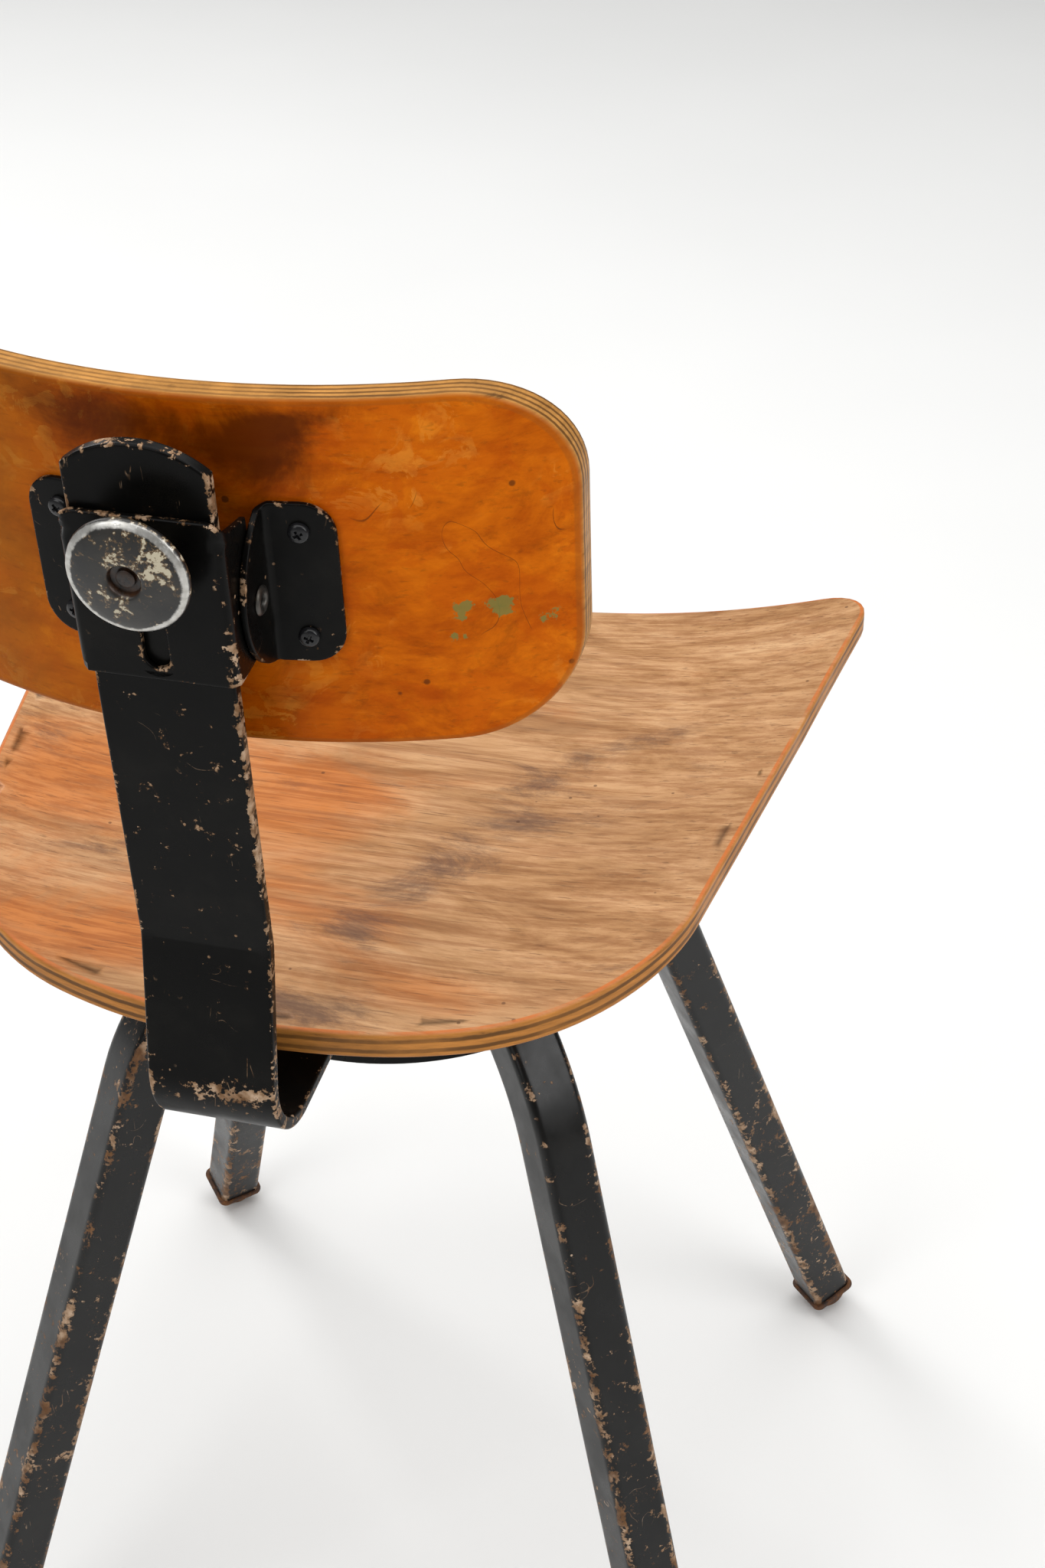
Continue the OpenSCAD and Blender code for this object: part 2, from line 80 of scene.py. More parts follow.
# Spindle
SPINDLE_LOW, SPINDLE_HIGH, SPINDLE_R = 345, 474, 13


def sin(a):
    return math.sin(math.radians(a))


def cos(a):
    return math.cos(math.radians(a))


def place(points):
    """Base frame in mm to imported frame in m."""
    return np.asarray(points, float) * MM + np.array([0, AXIS_Y, FOOT_DROP * MM])


def on_bar(points):
    """Frame of the bar above its crease (y rearward, z up along the bar) to base frame."""
    p = np.asarray(points, float)
    return np.stack([p[:, 0], CREASE_Y + p[:, 1] * cos(BAR_LEAN) + p[:, 2] * sin(BAR_LEAN),
                     CREASE_Z - p[:, 1] * sin(BAR_LEAN) + p[:, 2] * cos(BAR_LEAN)], 1)


def turned(points, azimuth):
    p = np.asarray(points, float)
    c, s = cos(azimuth), sin(azimuth)
    return np.stack([p[:, 0] * c - p[:, 1] * s, p[:, 0] * s + p[:, 1] * c, p[:, 2]], 1)


def linked(name, data):
    """A new object in the scene."""
    made = bpy.data.objects.new(name, data)
    bpy.context.scene.collection.objects.link(made)
    return made


# ---- Camera, light and floor ----

def add_camera():
    azimuth, down, roll, lens = 15.157, 34.923, -1.262, 55.29252
    place_m = (-0.29074, 0.83021, 1.10760 + FOOT_DROP * MM)
    back = Vector((-sin(azimuth) * cos(down), cos(azimuth) * cos(down), sin(down)))
    right = (-back).cross(Vector((0, 0, 1))).normalized()
    up = right.cross(-back)
    across = right * cos(roll) + up * sin(roll)
    upward = up * cos(roll) - right * sin(roll)
    data = bpy.data.cameras.new("camera")
    data.lens, data.sensor_width = lens, 36
    data.clip_start, data.clip_end = 0.05, 50
    camera = linked("camera", data)
    camera.matrix_world = Matrix.Translation(place_m) @ Matrix((across, upward, back)).transposed().to_4x4()
    bpy.context.scene.camera = camera


def add_area_light(name, location, target, size, power):
    data = bpy.data.lights.new(name, "AREA")
    data.shape, data.size, data.size_y = "RECTANGLE", size[0], size[1]
    data.energy = power
    lamp = linked(name, data)
    lamp.location = location
    lamp.rotation_euler = (Vector(target) - Vector(location)).to_track_quat("-Z", "Y").to_euler()


def add_world():
    world = bpy.data.worlds.new("studio")
    world.use_nodes = True
    background = world.node_tree.nodes["Background"]
    background.inputs["Color"].default_value = (1, 1, 1, 1)
    background.inputs["Strength"].default_value = 0.16
    bpy.context.scene.world = world


def add_floor():
    size = 14
    mesh = bpy.data.meshes.new("floor")
    corners = [(-size, -size, 0), (size, -size, 0), (size, size, 0), (-size, size, 0)]
    mesh.from_pydata(corners, [], [(0, 1, 2, 3)])
    floor = linked("floor", mesh)
    floor.data.materials.append(floor_paper())


# ---- Materials ----

class Nodes:
    """Short calls that add nodes to one material. A value is a number, a colour or another node's output."""

    def __init__(self, name):
        self.material = bpy.data.materials.new(name)
        self.material.use_nodes = True
        self.tree = self.material.node_tree
        self.shader = self.tree.nodes["Principled BSDF"]
        self.coords = self.tree.nodes.new("ShaderNodeTexCoord").outputs["Object"]

    def put(self, socket, value):
        if isinstance(value, bpy.types.NodeSocket):
            self.tree.links.new(value, socket)
        elif isinstance(value, (tuple, list)) and len(value) == 3 and socket.type == "RGBA":
            socket.default_value = (*value, 1)
        else:
            socket.default_value = value

    def node(self, kind, output=0, settings=None, **inputs):
        made = self.tree.nodes.new(kind)
        for key, value in (settings or {}).items():
            setattr(made, key, value)
        for key, value in inputs.items():
            self.put(made.inputs[int(key[1:]) if key[0] == "i" and key[1:].isdigit() else key], value)
        return made.outputs[output]

    def stretch(self, scale=(1, 1, 1), turn=(0, 0, 0), move=(0, 0, 0)):
        return self.node("ShaderNodeMapping", Vector=self.coords, Scale=scale, Location=move,
                         Rotation=tuple(math.radians(a) for a in turn))

    def noise(self, scale, detail=4, rough=0.55, warp=0.0, at=None):
        return self.node("ShaderNodeTexNoise", Vector=at or self.coords, Scale=scale,
                         Detail=detail, Roughness=rough, Distortion=warp)

    def cells(self, scale):
        """Distance to the nearest of many scattered points."""
        return self.node("ShaderNodeTexVoronoi", Vector=self.coords, Scale=scale)

    def value(self, name):
        """A number stored on the mesh's points."""
        return self.node("ShaderNodeAttribute", output=2, settings={"attribute_name": name})

    def math(self, operation, a, b=0.0):
        return self.node("ShaderNodeMath", settings={"operation": operation}, i0=a, i1=b)

    def times(self, a, b):
        return self.math("MULTIPLY", a, b)

    def plus(self, a, b):
        return self.math("ADD", a, b)

    def minus(self, a, b):
        return self.math("SUBTRACT", a, b)

    def most(self, a, b):
        return self.math("MAXIMUM", a, b)

    def ramp(self, value, low, high, to_low=0.0, to_high=1.0):
        """Smooth step from low to high."""
        return self.node("ShaderNodeMapRange", settings={"interpolation_type": "SMOOTHSTEP"},
                         i0=value, i1=low, i2=high, i3=to_low, i4=to_high)

    def mix(self, factor, a, b, blend="MIX"):
        return self.node("ShaderNodeMix", output=2, settings={"data_type": "RGBA", "blend_type": blend},
                         i0=factor, i6=a, i7=b)

    def tint(self, colour, mask, weight, other):
        """Another colour over this one, by weight, where the mask is 1."""
        return self.mix(self.times(mask, weight), colour, other)

    def around(self, value, weight):
        """A noise's swing about its middle, times weight."""
        return self.times(self.minus(value, 0.5), weight)

    def colours(self, value, *stops):
        """Colour ramp through (position, colour) stops."""
        made = self.tree.nodes.new("ShaderNodeValToRGB")
        ramp = made.color_ramp
        while len(ramp.elements) < len(stops):
            ramp.elements.new(0.5)
        for element, (position, colour) in zip(ramp.elements, stops):
            element.position, element.color = position, (*colour, 1)
        self.put(made.inputs[0], value)
        return made.outputs[0]

    def bump(self, height, strength, distance):
        return self.node("ShaderNodeBump", Strength=strength, Distance=distance, Height=height)

    def finish(self, **inputs):
        for key, value in inputs.items():
            self.put(self.shader.inputs[key.replace("_", " ")], value)
        return self.material


def floor_paper():
    n = Nodes("pale_floor")
    tone = n.colours(n.noise(1.3, 3), (0.3, (0.80, 0.80, 0.79)), (0.7, (0.83, 0.83, 0.82)))
    return n.finish(Base_Color=tone, Roughness=0.75, Normal=n.bump(n.noise(900, 2), 0.05, 0.0002))


def hairlines(n, scale, width, density, warp=0.5, at=None):
    """Thin curling scratches: contour lines of a noise, kept only in patches."""
    field = n.noise(scale, 1, 0.5, warp, at=at)
    line = n.ramp(n.math("ABSOLUTE", n.minus(field, 0.5)), width, width * 0.3)
    patch = n.ramp(n.noise(scale * 0.45, 3, 0.6), 1 - density, 1.04 - density)
    return n.times(line, patch)


def worn_paint(name, rust_amount=0.5, shine=0.09):
    """Satin black paint over steel, chipped to tan metal with rust round it on edges and worn places."""
    n = Nodes(name)
    edge, worn = n.value("edge"), n.value("worn")
    fine = n.noise(330, 4, 0.6)
    grit = n.noise(1500, 2, 0.5)
    level = n.plus(n.around(n.noise(150, 6, 0.66, 0.4), 1.0), n.around(n.noise(600, 4, 0.6), 0.45))
    level = n.plus(level, n.around(n.noise(17, 3), 0.42))
    rub = n.times(n.math("POWER", edge, 4.0), 0.145)
    level = n.plus(level, n.plus(rub, n.times(worn, 0.40)))
    chip = n.ramp(level, 0.215, 0.235)
    halo = n.ramp(level, 0.170, 0.225)
    speck = n.ramp(n.cells(170), 0.13, 0.09)
    speck = n.times(speck, n.ramp(n.noise(26, 3), 0.55, 0.60))
    lines = hairlines(n, 60, 0.0045, 0.40)
    for turn in ((35, -20, 10), (-12, 25, 0), (8, 4, -30)):
        lines = n.most(lines, hairlines(n, 110, 0.008, 0.37, 0.0, n.stretch((1, 1, 0.07), turn)))
    lines = n.times(lines, n.ramp(fine, 0.40, 0.52))
    bare = n.most(chip, n.times(speck, 0.85))
    bare = n.most(bare, n.times(lines, 0.50))
    paint = n.colours(n.noise(30, 5, 0.6), (0.3, (0.0016, 0.0015, 0.0014)), (0.55, (0.0030, 0.0028, 0.0025)),
                      (0.8, (0.0085, 0.0076, 0.0062)))
    metal = n.colours(n.noise(230, 4, 0.6), (0.32, (0.12, 0.060, 0.026)), (0.50, (0.33, 0.205, 0.118)),
                      (0.72, (0.60, 0.44, 0.31)))
    rust = n.colours(n.noise(170, 5, 0.7), (0.3, (0.040, 0.014, 0.005)), (0.6, (0.155, 0.062, 0.015)),
                     (0.85, (0.34, 0.165, 0.048)))
    rusty = n.times(n.ramp(n.noise(48, 4), 0.44, 0.58), rust_amount)
    metal = n.mix(rusty, metal, rust)
    colour = n.mix(n.times(halo, 0.35 + rust_amount * 0.5), paint, (0.060, 0.030, 0.013))
    colour = n.mix(bare, colour, metal)
    sheen = n.ramp(n.noise(42, 4, 0.6), 0.3, 0.7, 0.24, 0.40)
    rough = n.most(sheen, n.times(n.most(bare, halo), 0.52))
    height = n.minus(n.times(grit, 0.05), n.times(bare, 1.0))
    height = n.plus(height, n.times(n.noise(190, 3), 0.12))
    return n.finish(Base_Color=colour, Roughness=rough, Metallic=n.times(chip, 0.25),
                    Specular_IOR_Level=shine, Normal=n.bump(height, 0.45, 0.00022))


def rusty_steel():
    n = Nodes("rusty_steel")
    tone = n.noise(130, 6, 0.7, 0.5)
    colour = n.colours(tone, (0.28, (0.014, 0.009, 0.007)), (0.45, (0.060, 0.024, 0.010)),
                       (0.6, (0.165, 0.062, 0.016)), (0.78, (0.34, 0.18, 0.085)))
    height = n.plus(tone, n.times(n.noise(700, 4), 0.5))
    return n.finish(Base_Color=colour, Roughness=n.ramp(tone, 0.3, 0.7, 0.55, 0.85), Metallic=0.15,
                    Normal=n.bump(height, 0.7, 0.0006))


def bare_steel(name, tone=1.0):
    n = Nodes(name)
    streaks = n.noise(160, 4, 0.6, at=n.stretch((1, 1, 0.08)))
    stain = n.noise(60, 5, 0.65)
    stops = ((0.32, (0.10, 0.065, 0.04)), (0.5, (0.30, 0.27, 0.23)), (0.75, (0.52, 0.50, 0.47)))
    colour = n.colours(stain, *((at, tuple(tone * c for c in shade)) for at, shade in stops))
    return n.finish(Base_Color=colour, Metallic=0.85, Roughness=n.ramp(streaks, 0.3, 0.7, 0.3, 0.52),
                    Normal=n.bump(n.plus(streaks, n.noise(500, 3)), 0.3, 0.0002))


def bronze():
    n = Nodes("bronze")
    stain = n.noise(70, 5, 0.65)
    colour = n.colours(stain, (0.3, (0.10, 0.06, 0.02)), (0.6, (0.40, 0.26, 0.10)), (0.8, (0.55, 0.40, 0.18)))
    return n.finish(Base_Color=colour, Metallic=0.9, Roughness=n.ramp(stain, 0.3, 0.7, 0.5, 0.3),
                    Normal=n.bump(n.noise(420, 3), 0.2, 0.0002))


def grain_lines(n, at):
    """Fine fibres and open pores, long where the coordinates are squeezed."""
    return n.noise(120, 6, 0.68, 0.2, at=at), n.ramp(n.noise(520, 3, 0.6, at=at), 0.58, 0.72)


def ply_edge(n, layer, plies, light, dark, stain, contrast):
    """Stripes of a plywood edge: layer runs from 0 at one face to 1 at the other."""
    wobble = n.plus(n.around(n.noise(30, 4, 0.6), 0.09), n.around(n.noise(140, 3, 0.6), 0.05))
    wave = n.math("SINE", n.times(n.plus(layer, wobble), math.tau * plies))
    stripe = n.ramp(wave, -0.75, 0.15)
    streak = n.noise(150, 6, 0.7, at=n.stretch((0.30, 0.30, 2.4)))
    body = n.mix(n.ramp(streak, 0.3, 0.7), light, tuple(0.62 * c for c in light))
    gap = n.times(n.minus(1.0, stripe), n.ramp(n.noise(24, 4), 0.30, 0.62, contrast * 0.45, contrast))
    colour = n.mix(gap, body, dark)
    return n.mix(n.ramp(streak, 0.60, 0.72, 0, 0.7), colour, stain), stripe


def back_ply():
    """Orange-brown varnished beech ply: mottled flame figure, dark blotches and layered edges."""
    n = Nodes("back_ply")
    edge, layer, side = n.value("edge"), n.value("layer"), n.value("side")
    figure = n.noise(24, 8, 0.70, 0.7, at=n.stretch((0.75, 1, 1)))
    colour = n.colours(figure, (0.32, (0.34, 0.060, 0.0005)), (0.43, (0.51, 0.100, 0.001)),
                       (0.53, (0.63, 0.140, 0.002)), (0.66, (0.74, 0.195, 0.005)))
    fleck = n.ramp(n.noise(75, 6, 0.66, 1.2, at=n.stretch((0.85, 1, 1))), 0.545, 0.565)
    fleck = n.times(fleck, n.ramp(n.noise(17, 3), 0.46, 0.58))
    colour = n.tint(colour, fleck, 0.42, (0.76, 0.29, 0.035))
    red = n.ramp(n.noise(40, 7, 0.70, 0.9, at=n.stretch((0.8, 1, 1), (0, 0, 0), (3, 1, 5))), 0.49, 0.55)
    colour = n.tint(colour, red, 0.45, (0.53, 0.088, 0.001))
    dim = n.ramp(n.noise(60, 7, 0.74, 0.5, at=n.stretch((0.7, 1, 1))), 0.54, 0.70)
    colour = n.tint(colour, dim, 0.38, (0.20, 0.040, 0.001))
    fibres, pores = grain_lines(n, n.stretch((0.05, 1, 1)))
    colour = n.mix(n.ramp(fibres, 0.40, 0.66, 0.0, 0.5), colour, (0.62, 0.42, 0.30), "MULTIPLY")
    brown = n.ramp(n.plus(n.value("dull"), n.around(n.noise(12, 4), 1.2)), 0.25, 0.95)
    colour = n.tint(colour, brown, 0.65, (0.235, 0.090, 0.006))
    grime = n.plus(n.value("worn"), n.around(n.noise(30, 6, 0.68, 0.5), 1.5))
    colour = n.mix(n.ramp(grime, 0.14, 0.80, 0.0, 0.88), colour, (0.075, 0.0125, 0.0004))
    specks = n.ramp(n.cells(48), 0.075, 0.045)
    colour = n.tint(colour, specks, 0.7, (0.05, 0.014, 0.004))
    colour = n.tint(colour, pores, 0.28, (0.12, 0.03, 0.004))
    marks = n.ramp(hairlines(n, 26, 0.004, 0.42, 0.8), 0.2, 0.9, 0.0, 0.6)
    colour = n.mix(marks, colour, (0.07, 0.020, 0.004))
    green = n.ramp(n.plus(n.value("mark"), n.around(n.noise(190, 4, 0.7), 1.6)), 0.52, 0.62)
    colour = n.tint(colour, green, 0.80, (0.175, 0.195, 0.050))
    edge_colour, stripe = ply_edge(n, layer, 4.5, (0.56, 0.265, 0.070), (0.075, 0.030, 0.010),
                                   (0.10, 0.045, 0.014), 0.80)
    colour = n.mix(side, colour, edge_colour)
    arris = n.times(n.ramp(edge, 0.80, 0.97), n.minus(1.0, side))
    colour = n.tint(colour, arris, 0.45, (0.30, 0.085, 0.010))
    rough = n.ramp(n.noise(30, 5, 0.6), 0.3, 0.75, 0.26, 0.44)
    height = n.plus(n.times(fibres, 0.5), n.times(n.noise(60, 3), 0.6))
    height = n.plus(height, n.times(n.times(stripe, side), 1.2))
    return n.finish(Base_Color=colour, Roughness=rough, Specular_IOR_Level=0.04,
                    Normal=n.bump(height, 0.35, 0.0003))


def seat_ply():
    """Worn tan ply seat: grain across the seat, rubbed pale patches, dark purple-grey stains."""
    n = Nodes("seat_ply")
    edge, layer, side = n.value("edge"), n.value("layer"), n.value("side")
    bands = n.noise(34, 8, 0.70, 0.8, at=n.stretch((0.30, 1, 1)))
    colour = n.colours(bands, (0.30, (0.27, 0.125, 0.050)), (0.45, (0.42, 0.220, 0.095)),
                       (0.56, (0.54, 0.305, 0.148)), (0.72, (0.65, 0.405, 0.215)))
    cloud = n.noise(9, 5, 0.6, 0.6)
    colour = n.mix(n.ramp(cloud, 0.45, 0.72, 0.0, 0.45), colour, (0.42, 0.235, 0.115))
    glow = n.around(n.noise(14, 6, 0.66, 0.6, at=n.stretch((0.5, 1, 1))), 1.8)
    orange = n.ramp(n.plus(n.value("mark"), glow), 0.15, 0.75)
    colour = n.tint(colour, orange, 0.78, (0.52, 0.160, 0.030))
    fibres = n.noise(300, 6, 0.70, 0.3, at=n.stretch((0.045, 1, 1)))
    pores = n.ramp(n.noise(900, 3, 0.6, at=n.stretch((0.05, 1, 1))), 0.58, 0.70)
    colour = n.mix(n.ramp(fibres, 0.40, 0.62, 0.0, 0.62), colour, (0.56, 0.42, 0.33), "MULTIPLY")
    streaks = n.ramp(n.noise(95, 5, 0.68, 0.4, at=n.stretch((0.07, 1, 1))), 0.52, 0.70)
    colour = n.tint(colour, streaks, 0.30, (0.24, 0.110, 0.050))
    colour = n.tint(colour, pores, 0.50, (0.110, 0.048, 0.022))
    ragged = n.noise(42, 9, 0.80, 0.5, at=n.stretch((0.40, 1, 1), (0, 0, -12)))
    stain = n.ramp(n.plus(n.value("worn"), n.around(ragged, 3.2)), 0.20, 1.00)
    colour = n.tint(colour, stain, 0.74, (0.100, 0.054, 0.040))
    specks = n.ramp(n.cells(52), 0.055, 0.035)
    colour = n.tint(colour, specks, 0.6, (0.06, 0.022, 0.012))
    drops = n.ramp(n.plus(n.value("spot"), n.around(n.noise(240, 3), 1.2)), 0.50, 0.60)
    colour = n.tint(colour, drops, 0.85, (0.20, 0.040, 0.020))
    edge_colour, stripe = ply_edge(n, layer, 2.5, (0.58, 0.235, 0.050), (0.090, 0.040, 0.012),
                                   (0.085, 0.045, 0.018), 0.85)
    colour = n.mix(side, colour, edge_colour)
    arris = n.times(n.ramp(edge, 0.86, 0.99), n.minus(1.0, side))
    arris = n.times(arris, n.ramp(n.noise(45, 4), 0.3, 0.55))
    colour = n.tint(colour, arris, 0.85, (0.52, 0.135, 0.026))
    rough = n.ramp(n.noise(24, 5, 0.6), 0.3, 0.75, 0.36, 0.56)
    height = n.plus(n.times(fibres, 0.5), n.times(pores, -0.5))
    height = n.plus(height, n.times(n.times(stripe, side), 1.0))
    return n.finish(Base_Color=colour, Roughness=rough, Specular_IOR_Level=0.13,
                    Normal=n.bump(height, 0.3, 0.0002))


def beech():
    n = Nodes("beech")
    fibres, pores = grain_lines(n, n.stretch((1, 0.06, 1)))
    colour = n.colours(fibres, (0.3, (0.30, 0.16, 0.075)), (0.6, (0.47, 0.29, 0.15)),
                       (0.8, (0.56, 0.37, 0.21)))
    colour = n.tint(colour, pores, 0.5, (0.16, 0.08, 0.04))
    return n.finish(Base_Color=colour, Roughness=n.ramp(fibres, 0.3, 0.7, 0.5, 0.7),
                    Normal=n.bump(fibres, 0.3, 0.0003))


def worn_knob():
    """Turned steel knob: bright rubbed rim, black patina on the dome with cream and brown patches."""
    n = Nodes("worn_knob")
    rim, hollow, worn = n.value("edge"), n.value("side"), n.value("worn")
    swing = n.plus(n.around(n.noise(150, 6, 0.70, 0.4), 1.0), n.around(n.noise(600, 4, 0.6), 0.5))
    level = n.plus(swing, n.minus(n.times(worn, 0.22), 0.035))
    patina = n.colours(n.noise(90, 4), (0.3, (0.006, 0.006, 0.006)), (0.7, (0.022, 0.019, 0.015)))
    brown = n.ramp(level, 0.060, 0.130)
    cream = n.ramp(level, 0.125, 0.165)
    colour = n.mix(brown, patina, (0.125, 0.072, 0.028))
    colour = n.mix(cream, colour, (0.52, 0.46, 0.33))
    bright = n.plus(rim, n.plus(n.times(swing, 0.55), n.times(worn, 0.12)))
    bright = n.ramp(bright, 0.42, 0.66)
    metal = n.colours(n.noise(300, 3), (0.3, (0.40, 0.385, 0.35)), (0.7, (0.66, 0.65, 0.62)))
    colour = n.mix(bright, colour, metal)
    bore = n.colours(n.noise(260, 4), (0.35, (0.006, 0.004, 0.003)), (0.7, (0.06, 0.024, 0.009)))
    colour = n.mix(hollow, colour, bore)
    rough = n.ramp(bright, 0.0, 1.0, 0.36, 0.30)
    return n.finish(Base_Color=colour, Metallic=n.times(bright, 0.75), Roughness=rough,
                    Normal=n.bump(n.minus(n.noise(500, 3), cream), 0.3, 0.00015))


def black_screw():
    n = Nodes("black_screw")
    wear = n.ramp(n.plus(n.around(n.noise(420, 4), 1.0), n.times(n.value("edge"), 0.1)), 0.24, 0.32)
    colour = n.mix(wear, (0.010, 0.010, 0.011), (0.10, 0.09, 0.085))
    return n.finish(Base_Color=colour, Metallic=n.times(wear, 0.6), Roughness=n.ramp(wear, 0, 1, 0.22, 0.45),
                    Specular_IOR_Level=0.35)


MATERIALS = {
    "black_paint": worn_paint("black_paint", 0.35),
    "leg_paint": worn_paint("leg_paint", 0.85, 0.34),
    "rusty_steel": rusty_steel(),
    "bare_steel": bare_steel("bare_steel"),
    "dark_steel": bare_steel("dark_steel", 0.22),
    "bronze": bronze(),
    "beech": beech(),
    "seat_ply": seat_ply(),
    "back_ply": back_ply(),
    "worn_knob": worn_knob(),
    "black_screw": black_screw(),
}


# ---- Mesh building ----

def add_piece(name, points, faces, body, slot, nodes, values=None, finish=None):
    """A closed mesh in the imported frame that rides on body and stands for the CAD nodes."""
    mesh = bpy.data.meshes.new(name)
    mesh.from_pydata([tuple(p) for p in place(points)], [], [tuple(int(i) for i in f) for f in faces])
    for key, numbers in (values or {}).items():
        mesh.attributes.new(key, "FLOAT", "POINT").data.foreach_set("value", np.asarray(numbers, np.float32))
    work = bmesh.new()
    work.from_mesh(mesh)
    bmesh.ops.remove_doubles(work, verts=work.verts, dist=1e-7)
    bmesh.ops.recalc_face_normals(work, faces=work.faces)
    work.to_mesh(mesh)
    work.free()
    mesh.shade_smooth()
    mesh.set_sharp_from_angle(angle=math.radians(42))
    piece = linked(name, mesh)
    mesh.materials.append(MATERIALS[finish or slot])
    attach(piece, body)
    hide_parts(*nodes)


def inward(loop):
    """Direction into the material at each point of a closed loop that has the material on its left."""
    ahead = np.roll(loop, -1, 0) - loop
    behind = loop - np.roll(loop, 1, 0)
    normal = [np.stack([-e[:, 1], e[:, 0]], 1) / np.linalg.norm(e, axis=1)[:, None] for e in (ahead, behind)]
    both = normal[0] + normal[1]
    return both / np.maximum(1 + (normal[0] * normal[1]).sum(1), 0.3)[:, None]


def inside(points, loops):
    """True where a point is inside the outer loop and outside the holes."""
    result = np.zeros(len(points), bool)
    for loop in loops:
        a, b = loop, np.roll(loop, -1, 0)
        for (ax, ay), (bx, by) in zip(a, b):
            crosses = (ay > points[:, 1]) != (by > points[:, 1])
            with np.errstate(divide="ignore", invalid="ignore"):
                at = ax + (points[:, 1] - ay) * (bx - ax) / (by - ay)
            result ^= crosses & (points[:, 0] < at)
    return result


def strip(a, b, n):
    """Faces between two rings of n points that start at the numbers a and b."""
    return [(a + i, a + (i + 1) % n, b + (i + 1) % n, b + i) for i in range(n)]


def bands(rows, n):
    """Faces between each ring of n points and the next."""
    return [face for k in range(rows - 1) for face in strip(k * n, (k + 1) * n, n)]


def plate(loops, thick, rounding, grid_u, grid_v, shape, fades):
    """Sheet of the given outline, rounded along its edges and bent by shape(u, v, t).

    loops[0] runs anticlockwise and holes clockwise. t is the height over the middle of the thickness.
    fades are the distances of extra rings in from the rounding. The mesh gets edge (1 at the rim, 0 inside),
    layer (0..1 through the thickness) and side (1 on the rim wall).
    """
    half, nearest = thick / 2, 1.2
    rims = [(rounding * (1 - cos(a)), half - rounding + rounding * sin(a)) for a in (0, 22.5, 45, 67.5, 90)]
    inner = rims + [(rounding + d, half) for d in fades]
    last = len(inner) - 1
    flat, height, edge, side, faces, rings = [], [], [], [], [], {}

    def add(points, t, near, wall):
        """Adds points at height t and returns the first one's number."""
        first = sum(len(p) for p in flat)
        flat.append(points)
        for values, value in ((height, t), (edge, near), (side, wall)):
            values.append(np.full(len(points), float(value)))
        return first

    loops = [np.asarray(loop, float) for loop in loops]
    for k, loop in enumerate(loops):
        way, n = inward(loop), len(loop)
        for sign in (1, -1):
            for j, (depth, t) in enumerate(inner):
                near = 1 - max(0.0, depth - rounding) / fades[-1]
                rings[k, sign, j] = add(loop + way * depth, sign * t, near, np.clip(1.5 - j / 2, 0, 1))
            for j in range(last):
                faces += strip(rings[k, sign, j], rings[k, sign, j + 1], n)
        wall = [add(loop, level * rims[0][1], 1, 1) for level in (0.66, 0, -0.66)]
        chain = [rings[k, 1, 0], *wall, rings[k, -1, 0]]
        for a, b in zip(chain, chain[1:]):
            faces += strip(a, b, n)
    cores = [loop + inward(loop) * inner[last][0] for loop in loops]
    rim = np.concatenate(cores)
    free = np.stack([axis.ravel() for axis in np.meshgrid(grid_u, grid_v)], 1)
    free = free[inside(free, cores)]
    free = free[np.min(np.linalg.norm(free[:, None] - rim[None], axis=2), axis=1) > nearest]
    edges, first = [], 0
    for core in cores:
        edges += [(first + i, first + (i + 1) % len(core)) for i in range(len(core))]
        first += len(core)
    points = [Vector(p) for p in np.concatenate([rim, free])]
    out, _, triangles, origins, _, _ = geometry.delaunay_2d_cdt(points, edges, [], 0, 1e-6)
    out = np.array([tuple(p) for p in out])
    keep = inside(np.array([out[list(t)].mean(0) for t in triangles]), cores)
    on_rim = [[o for o in origin if o < len(rim)] for origin in origins]
    for sign in (1, -1):
        rim_ids = [rings[k, sign, last] + i for k, core in enumerate(cores) for i in range(len(core))]
        fresh = itertools.count(add(out[[not ring for ring in on_rim]], sign * half, 0, 0))
        index = [rim_ids[ring[0]] if ring else next(fresh) for ring in on_rim]
        faces += [tuple(index[i] for i in t) for t, good in zip(triangles, keep) if good]
    flat, height = np.concatenate(flat), np.concatenate(height)
    values = {"edge": np.concatenate(edge), "side": np.concatenate(side), "layer": height / thick + 0.5}
    return shape(flat[:, 0], flat[:, 1], height), faces, values, flat


def lathe(profile, segments):
    """Closed solid of revolution about Z from (radius, height) points; the first and last lie on the axis."""
    profile = np.asarray(profile, float)
    angle = np.arange(segments) * math.tau / segments
    rings = profile[1:-1]
    points = np.stack([np.outer(rings[:, 0], np.cos(angle)), np.outer(rings[:, 0], np.sin(angle)),
                       np.repeat(rings[:, 1:2], segments, 1)], 2).reshape(-1, 3)
    points = np.concatenate([points, [[0, 0, profile[0, 1]], [0, 0, profile[-1, 1]]]])
    low, high = len(points) - 2, len(points) - 1
    faces = bands(len(rings), segments)
    top = (len(rings) - 1) * segments
    faces += [(low, (i + 1) % segments, i) for i in range(segments)]
    faces += [(high, top + i, top + (i + 1) % segments) for i in range(segments)]
    return points, faces


def arc(centre, radius, start, end, count):
    """Points on an arc; angles run anticlockwise from +X."""
    x, y = centre
    return [(x + radius * cos(a), y + radius * sin(a)) for a in np.linspace(start, end, count)]


def spaced(points, step):
    """The same closed loop with no gap longer than step."""
    result = []
    for p, q in zip(points, points[1:] + points[:1]):
        n = max(1, int(math.ceil(math.dist(p, q) / step)))
        result += [(p[0] + (q[0] - p[0]) * i / n, p[1] + (q[1] - p[1]) * i / n) for i in range(n)]
    return result


def clean(points):
    """Drops points that repeat."""
    return [p for i, p in enumerate(points) if math.dist(p, points[i - 1]) > 0.05]


